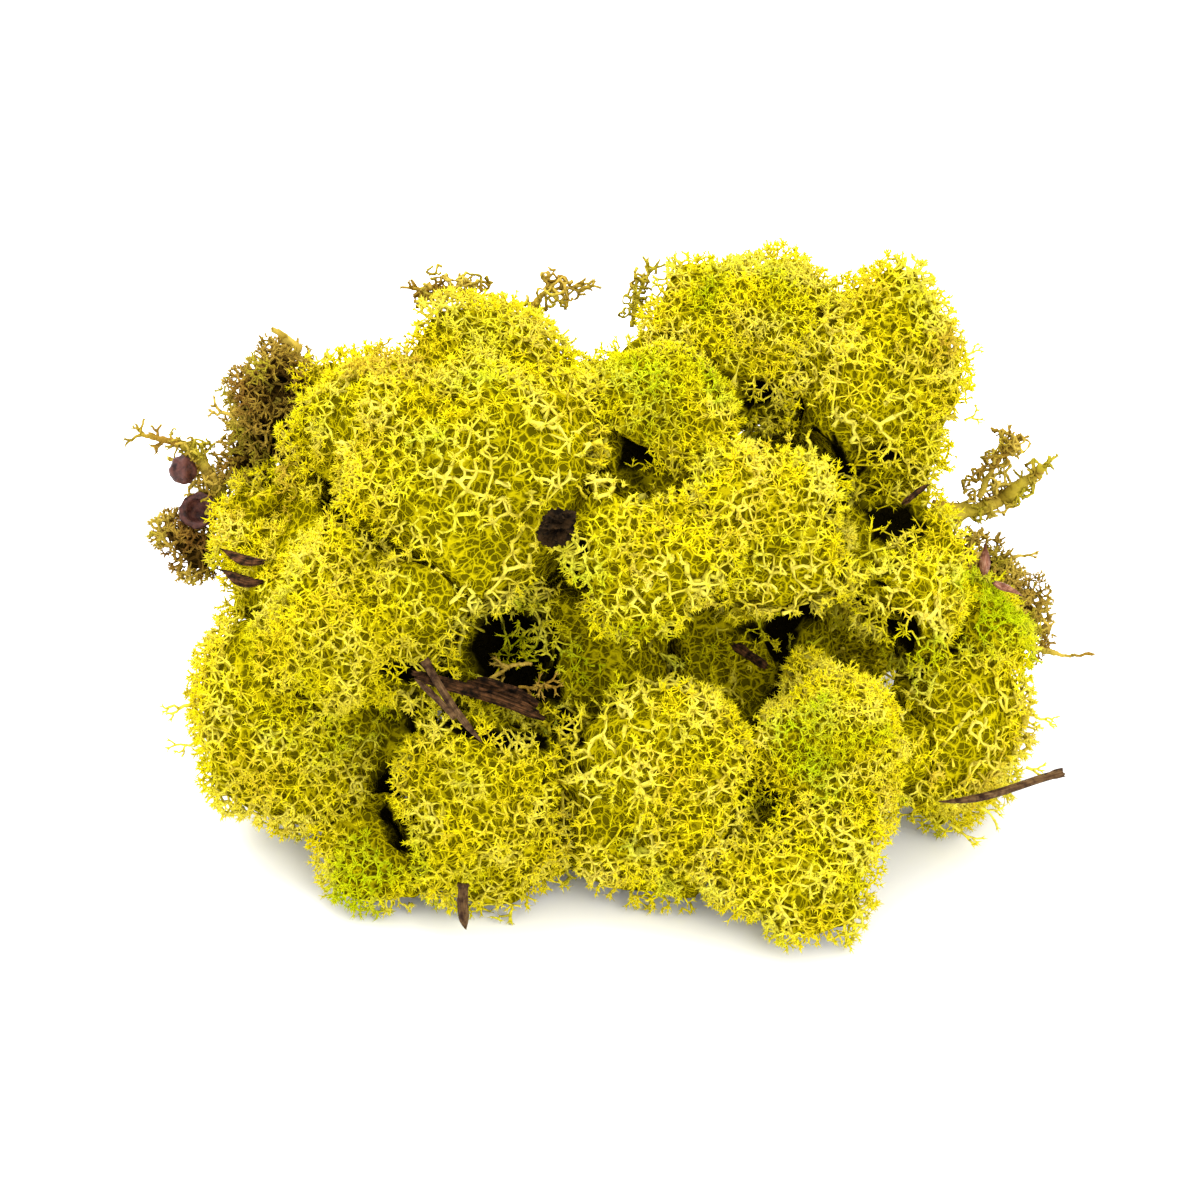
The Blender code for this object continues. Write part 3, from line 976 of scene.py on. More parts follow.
    def grow(self, heap: Heap) -> Strands:
        """Grow the branches, in the space that the other solids of the heap leave open."""
        rng = default_rng(self.seed)
        envelope = Envelope(self.node, heap)
        envelope.measure_openness(heap)
        foam = Foam(*self.sow(envelope, rng))
        foam.weld_short_edges(self.WELDED)
        foam.relax(self.RELAXED)
        depth, out, air = envelope.nearest(foam.corners)
        depth -= self.relief * (0.5 + 0.5 * self.RELIEF.at(foam.corners, self.seed))
        strands = Strands(rng)
        self._lay_branches(strands, foam, depth, out, air)
        return strands

    def _lay_branches(self, strands: Strands, foam: Foam, depth: Array, out: Array, air: Array) -> None:
        """Lay rods along the edges of the cells, and put tips where they reach the envelope.

        Args:
            strands: Gathers the shapes.
            foam: The cells.
            depth: Depth of each corner under the envelope.
            out: Outward direction at each corner.
            air: How open the envelope is at each corner.
        """
        rng = strands.rng
        corners, edges, size = foam.corners, foam.edges, foam.size
        net = self.net.value
        radius = np.minimum(net.radius * (size / net.spacing) ** self.RADIUS_POWER, self.THICKEST)
        thick = self.THICKNESS.at(corners, self.seed)
        radius = radius * (1 + self.THICKER * thick) * rng.uniform(*self.UNEVEN, len(radius))
        kept = (depth > self.top) & (depth < net.depth) & (air > self.SHUT)
        kept &= rng.random(len(kept)) > self.HOLLOW_LOSS * strength_at(corners, HOLLOWS)
        traits = self._traits(corners, depth, air, thick, rng)
        edges = edges[rng.random(len(edges)) > self.lost_share]
        inner = kept[edges].all(axis=1)
        half = kept[edges].any(axis=1) & ~inner
        deeper = half & (depth[edges].max(axis=1) >= net.depth)
        a, b = edges[inner | deeper].T
        middle = np.minimum(radius[a], radius[b]) * self.MIDDLE_RADIUS
        radii = np.column_stack([radius[a] * self.END_RADIUS, middle, radius[b] * self.END_RADIUS])
        bows = rng.normal(size=(len(a), 3)) * self.bow * size[a][:, None]
        lengths = np.linalg.norm(corners[a] - corners[b], axis=1)
        long = lengths > self.BENT_LENGTH - self.BENT_SOONER * (self.bow - self.PLAIN_BOW)
        bent = (np.minimum(depth[a], depth[b]) < self.BENT_DEPTH) & long
        pairs = np.stack([traits[a], traits[b]], axis=1)
        strands.add_rods(BENT_ROD, corners[a[bent]], corners[b[bent]], radii[bent], pairs[bent], bows[bent])
        strands.add_rods(ROD, corners[a[~bent]], corners[b[~bent]], radii[~bent], pairs[~bent])
        holes = strength_at(corners, OPEN_SPOTS)
        up = half & ~deeper & (rng.random(len(edges)) > self.OPEN_LOSS * holes[edges[:, 0]])
        low = np.where(kept[edges[up, 0]], edges[up, 0], edges[up, 1])
        high = edges[up].sum(axis=1) - low
        rise = (depth[low] - self.TWIG_TOP) / np.maximum(depth[low] - depth[high], self.LEAST_DROP)
        way = corners[high] - corners[low]
        reach = np.clip(np.linalg.norm(way, axis=1) * np.clip(rise, *self.TWIG_SHARE), *self.TWIG_LENGTH)
        way = unit(unit(way) + self.TWIG_LEAN * out[low])
        self._add_twigs(strands, corners[low], way, reach, radius[low] * self.TWIG_RADIUS, traits[low])
        chance = self.tips * (self.TIP_CHANCE - self.OPEN_LOSS * holes)
        near_top = kept & (depth < self.top + self.TIP_DEPTH) & (rng.random(len(kept)) < chance)
        start = corners[near_top]
        way = unit(out[near_top] + self.TIP_LEAN * rng.normal(size=start.shape))
        reach = rng.uniform(*self.TIP_LENGTH, len(start))
        self._add_twigs(strands, start, way, reach, radius[near_top] * self.TIP_RADIUS, traits[near_top])

    def _traits(self, points: Array, depth: Array, air: Array, thick: Array, rng: Generator) -> Array:
        """What the finish needs to know at each point.

        Args:
            points: Points in millimetres.
            depth: Their depth under the envelope.
            air: How open the envelope is there.
            thick: How thick the branches are there, from -1 to 1.
            rng: Makes the random choice.

        Returns:
            For each point: how near the tip, how green, how much painted shade it has, and how pale, from 0
                to 1.
        """
        green = self.green + self.GREENER * strength_at(points, GREEN_SPOTS)
        green = green + self.mottle * self.HUE.at(points, self.seed)
        green = green + self.GRAIN * rng.normal(size=len(points))
        pale = self.PALENESS + self.PALER * thick + self.PALER * strength_at(points, OPEN_SPOTS)
        # The third trait is painted shade: it grows with depth, in places shut from the air, in crevices, in
        # the painted shadow spots and in the hollows
        deep = ease(depth, self.SHADE_FROM, self.net.value.depth + 1)
        deep = 1 - (1 - deep) * (1 - self.SHUT_SHADE * (1 - ease(air, *self.SHUT_AIR)))
        deep = np.maximum(deep, self.CREVICE_SHADE * strength_at(points, CREVICES))
        # Painted shadow in the shadow spots, and painted shade in the hollows
        for dark in (SHADOW_SPOTS, HOLLOWS):
            deep = np.maximum(deep, strength_at(points, dark))
        tip = np.full(len(points), self.ON_BRANCH)
        return np.clip(np.column_stack([tip, hue_at(points, green), deep, pale]), 0, 1)

    def _add_twigs(
        self, strands: Strands, starts: Array, ways: Array, lengths: Array, radii: Array,
        traits: Array,
    ) -> None:
        """Add twigs that end in a star of rays.

        Args:
            strands: Gathers the shapes.
            starts: First point of each twig.
            ways: Direction of each twig.
            lengths: Length of each twig.
            radii: Radius at its start.
            traits: Traits at its start.
        """
        ends = starts + ways * lengths[:, None]
        star = traits.copy()
        star[:, 0] = self.AT_STAR
        thin = np.minimum(radii, self.ray_radius * self.STAR_WIDTH)
        radii = np.column_stack([thin * self.TWIG_FOOT, thin, thin])
        strands.add_rods(ROD, starts, ends, radii, np.stack([traits, star], axis=1))
        strands.add_stars(ends, ways, star, self.ray_radius, self.ray_length, self.rays)

    def _add_mass(self, strands: Strands, heap: Heap) -> None:
        """Add the mass of the deeper branches, which closes the view through the net."""
        inner = Envelope(self.node, heap, 3)
        lumps = self.LUMPS.at(inner.points, self.seed)
        lumps = lumps + self.FINER * self.FINE_LUMPS.at(inner.points, self.seed)
        inner.measure_openness(heap)
        air = np.zeros(len(inner.points))
        np.maximum.at(air, inner.faces.ravel(), inner.open.repeat(3))
        least = (inner.points.max(axis=0) - inner.points.min(axis=0)).min()
        depth = min(self.net.value.depth + self.UNDER_NET, self.UNDER_SHARE * least) + self.LUMP * lumps
        hollow = strength_at(inner.points, HOLLOWS)
        depth += min(self.HOLLOW_DEPTH, self.HOLLOW_SHARE * least) * hollow
        exposed = np.maximum(ease(air, *self.EXPOSED_AIR), 1 - ease(inner.points[:, 2], *self.FLOOR_ZONE))
        depth *= self.NEAREST + (1 - self.NEAREST) * exposed
        points = smooth(inner.points - inner.normals * depth[:, None], inner.faces, self.SMOOTHINGS)
        points[:, 2] = np.maximum(points[:, 2], LOWEST)
        traits = self._traits(points, depth, air, 0.5 * lumps, strands.rng)
        # Painted shade on the mass: dark where shut from the air, lighter where open, darker on sunk lumps
        # and in the hollows
        shade = self.DARKEST - self.LIGHTENED * ease(air, *self.LIT_AIR) + self.LUMP_SHADE * lumps
        traits[:, 2] = np.maximum(np.clip(shade, 0, 1), np.minimum(self.HOLLOW_SHADE * hollow, 1))
        strands.gather(points, inner.faces, traits, finish=1)

    def build(self, heap: Heap, finishes: list[Material]) -> Object:
        """Make the cushion.

        Args:
            heap: All solids of the heap.
            finishes: Materials of the branches and of the deeper mass.

        Returns:
            The finished piece.
        """
        strands = self.grow(heap)
        self._add_mass(strands, heap)
        for stray in self.strays:
            way = unit(np.array([stray.end]) - np.array([HEAP_MIDDLE]))
            start = np.array([stray.end]) - stray.length * way
            twig = self.STRAY_TWIG * stray.length
            radius, traits = np.array([stray.radius]), np.array([self.STRAY_TRAITS])
            add_forks(strands, start, way, radius, traits, stray.forks, twig)
        return add_piece(strands.make_mesh(self.node + "_branches"), self.node, finishes)


def place_object(name: str, data: object) -> Object:
    """Put data in the scene as an object with this name."""
    item = bpy.data.objects.new(name, data)
    bpy.context.scene.collection.objects.link(item)
    return item


def add_piece(data: Mesh, node: str, finishes: list[Material]) -> Object:
    """Put a finished mesh in the scene in place of a CAD node.

    Args:
        data: The mesh, in metres, in its place.
        node: The CAD node that it stands for.
        finishes: Its materials.

    Returns:
        The piece.
    """
    for finish in finishes:
        data.materials.append(finish)
    piece = place_object(data.name, data)
    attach(piece, "root")
    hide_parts(node)
    log.info("%s: %d triangles", piece.name, len(data.polygons))
    return piece


class Spine:
    """The middle line of a slender CAD node, in millimetres, with its cross-section."""

    def __init__(self, node: str, flip: bool = False) -> None:
        """Fit a smooth line through the node's points.

        Args:
            node: Name of the CAD node.
            flip: Whether the line runs from its far end.
        """
        mesh = node_mesh(node)
        points = read_points(mesh)
        mesh.free()
        centre = points.mean(axis=0)
        self.axis = np.linalg.svd(points - centre, full_matrices=False)[2][0]
        inward = (centre - HEAP_MIDDLE) @ self.axis < 0
        if inward != flip:
            self.axis = -self.axis
        along = (points - centre) @ self.axis
        self.ends = along.min(), along.max()
        powers = np.vander(along, 4)
        self.fit = np.linalg.lstsq(powers, points, rcond=None)[0]
        offsets = points - powers @ self.fit
        offsets -= np.outer(offsets @ self.axis, self.axis)
        self.wide = np.linalg.svd(offsets, full_matrices=False)[2][0]
        thin = np.cross(self.axis, self.wide)
        self.half_width = np.abs(offsets @ self.wide).max()
        self.half_thickness = np.abs(offsets @ thin).max()
        self.length = self.ends[1] - self.ends[0]

    def at(self, shares: Array) -> tuple[Array, Array, Array, Array]:
        """Places along the line.

        Args:
            shares: Shares of its length, from 0 to 1.

        Returns:
            The places, the direction of the line, and the wide and the thin direction there.
        """
        low, high = self.ends
        along = low + (high - low) * shares
        places = np.vander(along, 4) @ self.fit
        powers = np.column_stack([3 * along**2, 2 * along, np.ones_like(along), np.zeros_like(along)])
        ways = unit(powers @ self.fit)
        wide = unit(self.wide - (ways @ self.wide)[:, None] * ways)
        return places, ways, wide, np.cross(ways, wide)


def loft(name: str, tubes: list[tuple[Array, Array]]) -> Mesh:
    """Closed meshes over rings of points, as one mesh.

    Args:
        name: Name of the mesh.
        tubes: For each closed mesh: its points in millimetres, as an array of rings, points in a ring,
            and 3, and four traits of each point.

    Returns:
        The mesh in metres, with the traits as an attribute.
    """
    mesh = bmesh.new()
    for rings, _ in tubes:
        loops = []
        for ring in rings * MM:
            verts = [mesh.verts.new(point) for point in ring]
            loops.append([mesh.edges.new((verts[i - 1], verts[i])) for i in range(len(verts))])
        for first, second in zip(loops, loops[1:]):
            bmesh.ops.bridge_loops(mesh, edges=first + second)
        bmesh.ops.holes_fill(mesh, edges=loops[0] + loops[-1])
    bmesh.ops.recalc_face_normals(mesh, faces=mesh.faces)
    return keep_traits(finish_mesh(mesh, name), np.concatenate([t for _, t in tubes]))


class Form(Enum):
    """The kinds of slender pieces: how wide they are along their length, how round, and how ridged."""

    NEEDLE = "needle"
    STRIP = "strip"
    SCALE = "scale"
    STUB = "stub"

    def width_at(self, shares: Array) -> Array:
        """The width at shares of the length, where 1 is the CAD node's width."""
        if self is Form.NEEDLE:
            sheath, sheath_width, narrowing, narrowed = 0.06, 1.2, (0.7, 1.02), 0.98
            foot = np.where(shares < sheath, sheath_width, 1.0)
            return foot * np.sqrt(1 - ease(shares, *narrowing) * narrowed)
        if self is Form.SCALE:
            widest, widening, narrowing, narrowed = 1.35, (-0.12, 0.3), (0.3, 1.01), 0.99
            foot = widest * np.sqrt(ease(shares, *widening))
            return foot * np.sqrt(1 - ease(shares, *narrowing) * narrowed)
        blunt, widening = 0.6, (0.0, 0.12)
        return blunt + (1 - blunt) * ease(np.minimum(shares, 1 - shares), *widening)


@dataclass
class Slender:
    """A needle, a strip of bark, a scale of a bud or a stub of a twig, along the line of its CAD node."""

    node: str
    slot: str
    form: Form
    seed: int
    ridges: float = 0.1
    flip: bool = False
    thick: float = 1.0
    stretch: Pair = (0.0, 1.0)
    splinters: int = 1
    around: int = 18
    rings: int = 36

    # Of a splinter: how far it is lifted, how much shorter its ends are, and its share of the width
    LIFT = 0.9
    SHORTER = (0, 0.25)
    NARROWER = (0.5, 0.75)
    # The flat side of a needle, and the curl of a scale
    FLAT_SIDE = 0.55
    CURL = 0.5
    # Shares of a ring's neighbours and its own in each round of smoothing the ridges
    KERNEL = (0.25, 0.5, 0.25)
    SMOOTHINGS = 6
    # How far the torn ends reach, how near the ends they start, and how much ridges change the tone
    TORN = 4
    TORN_POWER = 6
    TONE = 0.3

    def build(self, finish: Material) -> Object:
        """Make the piece in this finish."""
        rng = default_rng(self.seed)
        spine = Spine(self.node, self.flip)
        tubes = [self._tube(spine, rng, k) for k in range(self.splinters)]
        data = loft(self.node + "_shape", tubes)
        return add_piece(data, self.node, [finish])

    def _tube(self, spine: Spine, rng: Generator, number: int) -> tuple[Array, Array]:
        """One splinter of the piece, or all of it.

        Args:
            spine: The line of the piece.
            rng: Makes the random choice.
            number: Which splinter it is.

        Returns:
            The rings of points, and the traits of each point.
        """
        shares = np.linspace(0, 1, self.rings)
        first, last = self.stretch
        share = 1 / self.splinters
        aside, lift = 0.0, 0.0
        if self.splinters > 1:
            aside = (2 * number + 1) * share - 1
            lift = rng.uniform(-self.LIFT, self.LIFT)
            first, last = first + rng.uniform(*self.SHORTER), last - rng.uniform(*self.SHORTER)
            share *= rng.uniform(*self.NARROWER)
        places, ways, wide, thin = (v[:, None] for v in spine.at(first + (last - first) * shares))
        angle = np.arange(self.around) / self.around * TAU
        x, y = np.cos(angle), np.sin(angle)
        if self.form is Form.NEEDLE:
            y = np.where(y > 0, y, self.FLAT_SIDE * y)
        if self.form is Form.SCALE:
            y = self.CURL * y - self.CURL * x**2
        pattern = rng.normal(size=(4, self.around)).repeat(self.rings // 4 + 1, axis=0)[: self.rings]
        before, own, after = self.KERNEL
        for _ in range(self.SMOOTHINGS):
            pattern[1:-1] = before * pattern[:-2] + own * pattern[1:-1] + after * pattern[2:]
        width = self.thick * self.form.width_at(shares)[:, None] * (1 + self.ridges * pattern)
        torn = rng.normal(size=self.around) * (self.ridges * spine.half_width * self.TORN * share)
        end = np.abs(2 * shares - 1)[:, None] ** self.TORN_POWER * torn
        across = width * (share * x + aside) * spine.half_width
        up = (width * y + lift) * spine.half_thickness
        points = places + across[..., None] * wide + up[..., None] * thin + end[..., None] * ways
        traits = np.empty((self.rings, self.around, 4))
        traits[..., 0] = shares[:, None]
        traits[..., 1] = np.cos(angle) * 0.5 + 0.5
        traits[..., 2] = np.clip(0.5 + self.TONE * pattern, 0, 1)
        traits[..., 3] = np.sin(angle) * 0.5 + 0.5
        return points, traits.reshape(-1, 4)


@dataclass
class Husk:
    """A papery husk, open at one side, in the box of its CAD node."""

    node: str
    seed: int
    opening: float
    tilt: Pair
    size: float = 0.95
    slot: str = "husk"
    wall: float = 0.35
    steps: int = 28
    rings: int = 11
    wrinkles: float = 0.10
    wrinkle_size: float = 0.35
    weld: float = 1e-4

    def build(self, finish: Material) -> Object:
        """Make the husk in this finish."""
        points = np.array([v.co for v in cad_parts[self.node].data.vertices]) / MM
        low, high = points.min(axis=0), points.max(axis=0)
        middle, half = (low + high) / 2, (high - low) / 2
        mesh = bmesh.new()
        stop = math.pi * (1 - 0.5 * self.opening)
        angles = np.linspace(0, stop, self.rings)
        outer = [(math.sin(a), -math.cos(a)) for a in angles]
        bore = 1 - self.wall
        inner = [(bore * x, bore * z) for x, z in reversed(outer)] if self.opening else []
        verts = [mesh.verts.new((x, 0, z)) for x, z in outer + inner]
        edges = [mesh.edges.new(pair) for pair in zip(verts, verts[1:])]
        turning = {"cent": (0, 0, 0), "axis": (0, 0, 1), "steps": self.steps, "angle": TAU}
        bmesh.ops.spin(mesh, geom=verts + edges, use_merge=True, **turning)
        bmesh.ops.remove_doubles(mesh, verts=mesh.verts, dist=self.weld)
        bmesh.ops.recalc_face_normals(mesh, faces=mesh.faces)
        turn = Euler((self.tilt[0], 0, self.tilt[1])).to_matrix()
        places = np.array([turn @ v.co for v in mesh.verts])
        wrinkle = 1 + self.wrinkles * Ripple(self.wrinkle_size, self.seed).at(places)
        places = places * wrinkle[:, None] * half * self.size + middle
        place_points(mesh, places)
        data = finish_mesh(mesh, self.node + "_shape")
        data.shade_smooth()
        return add_piece(data, self.node, [finish])


@dataclass
class BarkChip:
    """A crumbling chip of bark, cut from the form of its CAD node."""

    node: str
    seed: int
    slot: str = "bark"
    cuts: int = 5
    size: float = 0.85
    sink: Triple = (0.5, 2.0, -0.5)
    rounding: float = 0.5
    swell: float = 0.4
    layers: float = 2.2
    cracks: Variation = Variation(3.0, 0)
    crumbs: Variation = Variation(1.2, 1)
    crack_depth: float = 2.0
    crumb_depth: float = 1.2

    def build(self, finish: Material) -> Object:
        """Make the chip in this finish."""
        mesh = node_mesh(self.node, self.cuts, self.rounding)
        places, normals = read_points(mesh), read_normals(mesh)
        layers = places * np.array([1, 1, self.layers])
        rough = -self.crack_depth * np.abs(self.cracks.at(layers, self.seed))
        rough -= self.crumb_depth * np.abs(self.crumbs.at(layers, self.seed))
        places = places + normals * (self.swell + rough)[:, None]
        middle = places.mean(axis=0)
        places = middle + self.size * (places - middle) + np.array(self.sink)
        place_points(mesh, places)
        bmesh.ops.recalc_face_normals(mesh, faces=mesh.faces)
        return add_piece(finish_mesh(mesh, self.node + "_shape"), self.node, [finish])


@dataclass(frozen=True)
class Forking:
    """How twigs fork: shares of a twig's length and radius, leans, and the stars at the ends."""

    length: Pair = (0.5, 1.1)
    radii: Triple = (1.2, 0.9, 1.0)
    bow: float = 0.1
    lean: Pair = (0.35, 1.0)
    uneven: float = 0.15
    thinner: float = 0.8
    thinnest: float = 0.24
    shorter: float = 0.75
    star_trait: float = 0.6
    star: tuple[float, float, int] = (0.22, 1.3, 4)


FORKING = Forking()


def add_forks(
    strands: Strands, starts: Array, ways: Array, radii: Array, traits: Array,
    level: int, length: float,
) -> None:
    """Add twigs that fork again and again, and end in stars.

    Args:
        strands: Gathers the shapes.
        starts: First point of each twig.
        ways: Its direction.
        radii: Its radius.
        traits: Its traits.
        level: How often it still forks.
        length: Mean length of a twig.
    """
    rng = strands.rng
    ends = starts + ways * (length * rng.uniform(*FORKING.length, len(starts)))[:, None]
    along = np.column_stack([radii * share for share in FORKING.radii])
    bows = rng.normal(size=starts.shape) * FORKING.bow * length
    strands.add_rods(BENT_ROD, starts, ends, along, np.stack([traits, traits], axis=1), bows)
    if level == 0:
        last = traits.copy()
        last[:, 0] = FORKING.star_trait
        strands.add_stars(ends, ways, last, *FORKING.star)
        return
    aside = unit(np.cross(ways, rng.normal(size=ways.shape)))
    thinner = np.maximum(radii * FORKING.thinner, FORKING.thinnest)
    for sign in (1, -1):
        lean = rng.uniform(*FORKING.lean, (len(ways), 1)) * sign
        turned = unit(ways + lean * aside + FORKING.uneven * rng.normal(size=ways.shape))
        add_forks(strands, ends, turned, thinner, traits, level - 1, FORKING.shorter * length)


@dataclass
class DeadBranch:
    """A bare branch of dead lichen along its CAD node, with forked twigs, and webs of thin branches."""

    node: str
    seed: int
    twigs: int = 8
    levels: int = 1
    length: float = 2.4
    green: float = 0.2
    thick: float = 0.75
    web: float = 2.0
    reach: float = 1.0
    shift: Triple = (0.0, 0.0, 0.0)
    slot: str = "dead_lichen"

    # The limb: its joints, how crooked it is, how it narrows, how far its parts overlap, and their middle
    JOINTS = 18
    CROOKED = 0.14
    NARROWED = 0.5
    UNEVEN = 0.25
    OVERLAP = 0.3
    WAIST = 0.47
    # Its twigs: the first place, how far they follow the limb, the thickest, and their share of its width
    FIRST_TWIG = 0.15
    FOLLOW = (0.2, 1.2)
    THICKEST = 0.42
    TWIG_SHARE = 0.5
    # How its thickness, hue, paleness and web vary, and how strongly
    THICKNESS = Variation(3.0, 7)
    HUE = Variation(4.0, 1)
    PALENESS = Variation(3.0, 2)
    WEB = Variation(3.0, 5)
    GREENER = 0.4
    PALE = (0.4, 0.5)
    RAGGED = 0.6
    # The web: gap and number of its seeds, how far they spread, and its merged, moved and lost shares
    GAP = 1.6
    TRIES = 14
    SPREAD = 0.7
    WELDED = 0.35
    RELAXED = 0.3
    LOST = 0.3
    # The web's stretch of the line, the places looked at on it, and the radii and bow of its branches
    SEED_STRETCH = (0.1, 1.0)
    LINE_STRETCH = (0.05, 1)
    LINE_PLACES = 40
    WEB_RADIUS = (0.2, 0.42)
    WEB_SHAPE = (1.2, 0.85, 1.2)
    WEB_BOW = 0.15

    def build(self, finishes: list[Material]) -> Object:
        """Make the branch in these finishes."""
        rng = default_rng(self.seed)
        strands = Strands(rng)
        spine = Spine(self.node)
        spine.fit[-1] += np.array(self.shift)
        shares = np.linspace(0, self.reach, self.JOINTS)
        places, ways, _, _ = spine.at(shares)
        places[1:-1] += rng.normal(size=(self.JOINTS - 2, 3)) * self.CROOKED * spine.half_width
        radii = self.thick * spine.half_width * (1 - self.NARROWED * shares)
        radii *= 1 + self.UNEVEN * self.THICKNESS.at(places, self.seed)
        traits = self._traits(places)
        overlap = self.OVERLAP * radii[:, None] * ways
        starts, ends = places[:-1] - overlap[:-1], places[1:] + overlap[1:]
        along = np.column_stack([radii[:-1], (radii[:-1] + radii[1:]) * self.WAIST, radii[1:]])
        strands.add_rods(LIMB, starts, ends, along, np.stack([traits[:-1], traits[1:]], axis=1))
        starts = rng.uniform(self.FIRST_TWIG, self.reach, self.twigs)
        starts[:2] = self.reach
        root, way, wide, thin = spine.at(starts)
        angle = rng.uniform(0, TAU, self.twigs)[:, None]
        side = np.cos(angle) * wide + np.sin(angle) * thin
        way = unit(way * rng.uniform(*self.FOLLOW, (self.twigs, 1)) + side)
        radius = np.full(self.twigs, min(self.THICKEST, spine.half_width * self.TWIG_SHARE))
        add_forks(strands, root, way, radius, self._traits(root), self.levels, self.length)
        if self.web:
            self._add_web(strands, spine)
        return add_piece(strands.make_mesh(self.node + "_shape"), self.node, finishes)

    def _traits(self, points: Array) -> Array:
        """Traits of the branch at each point: not a tip, mottled green, not deep, mottled pale."""
        green = self.green + self.GREENER * self.HUE.at(points, self.seed)
        pale = self.PALE[0] + self.PALE[1] * self.PALENESS.at(points, self.seed)
        flat = np.zeros(len(points))
        return np.clip(np.column_stack([flat, hue_at(points, green), flat, pale]), 0, 1)

    def _add_web(self, strands: Strands, spine: Spine) -> None:
        """Add the web of thin branches that hangs round the branch.

        Args:
            strands: Gathers the shapes.
            spine: The line of the branch.
        """
        rng = strands.rng
        count = int(self.TRIES * spine.length * self.web**2 / self.GAP**3)
        places = spine.at(rng.uniform(*self.SEED_STRETCH, count))[0]
        seeds = places + rng.normal(size=places.shape) * self.web * self.SPREAD
        seeds = seeds[thin_out(seeds, np.full(count, self.GAP))]
        foam = Foam(seeds, np.full(len(seeds), self.GAP))
        foam.weld_short_edges(self.WELDED)
        foam.relax(self.RELAXED)
        line = spine.at(np.linspace(*self.LINE_STRETCH, self.LINE_PLACES))[0]
        away = np.linalg.norm(foam.corners[:, None] - line, axis=2).min(axis=1)
        ragged = self.web * (1 + self.RAGGED * self.WEB.at(foam.corners, self.seed))
        edges = foam.edges[(away < ragged)[foam.edges].all(axis=1)]
        a, b = edges[rng.random(len(edges)) > self.LOST].T
        traits = self._traits(foam.corners)
        radii = rng.uniform(*self.WEB_RADIUS, (len(a), 1)) * np.array(self.WEB_SHAPE)
        bows = rng.normal(size=(len(a), 3)) * self.WEB_BOW
        pairs = np.stack([traits[a], traits[b]], axis=1)
        strands.add_rods(BENT_ROD, foam.corners[a], foam.corners[b], radii, pairs, bows)


class Nodes:
    """Short ways to add nodes to a shader tree."""

    # The sockets of a mix node that take and give colours
    COLOURS_IN = (6, 7)
    COLOUR_OUT = 2

    def __init__(self, tree: NodeTree) -> None:
        """Work on this tree."""
        self.tree = tree

    def add(self, kind: str, **values: object) -> Node:
        """Add a node and set its properties."""
        node = self.tree.nodes.new(kind)
        for name, value in values.items():
            setattr(node, name, value)
        return node

    def link(self, source: NodeSocket, target: NodeSocket) -> None:
        """Join two sockets."""
        self.tree.links.new(source, target)

    def place(self) -> NodeSocket:
        """The object coordinates, which don't move with the view."""
        return self.add("ShaderNodeTexCoord").outputs["Object"]

    def traits(self) -> list[NodeSocket]:
        """The four traits of the piece: red, green, blue and alpha of its colour attribute."""
        stored = self.add("ShaderNodeAttribute", attribute_name=GROWTH)
        parts = self.add("ShaderNodeSeparateColor")
        self.link(stored.outputs["Color"], parts.inputs["Color"])
        return [*parts.outputs[:3], stored.outputs["Alpha"]]

    def noise(self, place: NodeSocket, scale: object, detail: float = 2.0) -> Node:
        """A noise texture at a place."""
        node = self.add("ShaderNodeTexNoise")
        self.feed(place, node.inputs["Vector"])
        self.feed(scale, node.inputs["Scale"])
        self.feed(detail, node.inputs["Detail"])
        return node

    def use(self, group: NodeTree, value: float) -> NodeSocket:
        """The value of a group of nodes that is given one number."""
        node = self.add("ShaderNodeGroup", node_tree=group)
        node.inputs[0].default_value = value
        return node.outputs[0]

    def finish(
        self, colour: object, roughness: float, shine: float,
        height: NodeSocket | None = None, distance: float = 0.0,
    ) -> None:
        """Set a material's colour, roughness and shine, and its bumps if it has a height for them."""
        shader = self.tree.nodes["Principled BSDF"]
        self.feed(colour, shader.inputs["Base Color"])
        self.feed(roughness, shader.inputs["Roughness"])
        self.feed(shine, shader.inputs["Specular IOR Level"])
        if height:
            bump = self.add("ShaderNodeBump")
            self.feed(distance, bump.inputs["Distance"])
            self.link(height, bump.inputs["Height"])
            self.link(bump.outputs["Normal"], shader.inputs["Normal"])

    def feed(self, value: object, socket: NodeSocket) -> None:
        """Link a socket to this one, or set a plain number or colour on it."""
        if isinstance(value, NodeSocket):
            self.link(value, socket)
        elif isinstance(value, tuple):
            socket.default_value = (*value, 1)
        else:
            socket.default_value = value

    def mix(self, factor: object, first: object, second: object) -> NodeSocket:
        """Mix two colours."""
        node = self.add("ShaderNodeMix", data_type="RGBA", clamp_factor=True)
        self.feed(factor, node.inputs["Factor"])
        for colour, number in zip((first, second), self.COLOURS_IN):
            self.feed(colour, node.inputs[number])
        return node.outputs[self.COLOUR_OUT]

    def math(self, operation: str, first: object, second: object) -> NodeSocket:
        """Work out one number from two."""
        node = self.add("ShaderNodeMath", operation=operation)
        self.feed(first, node.inputs[0])
        self.feed(second, node.inputs[1])
        return node.outputs[0]

    def times(self, first: object, second: object) -> NodeSocket:
        """The product of two numbers."""
        return self.math("MULTIPLY", first, second)

    def spread(self, value: object, low: float, high: float, to: tuple = (0.0, 1.0)) -> NodeSocket:
        """Map the range from low to high onto another, with soft ends."""
        node = self.add("ShaderNodeMapRange", interpolation_type="SMOOTHSTEP")
        self.feed(value, node.inputs["Value"])
        for name, limit in zip(("From Min", "From Max", "To Min", "To Max"), (low, high, *to)):
            node.inputs[name].default_value = limit
        return node.outputs["Result"]


def start_material(name: str) -> tuple[Material, Nodes]:
    """A new material, and its nodes."""
    material = bpy.data.materials.new(name)
    material.use_nodes = True
    return material, Nodes(material.node_tree)


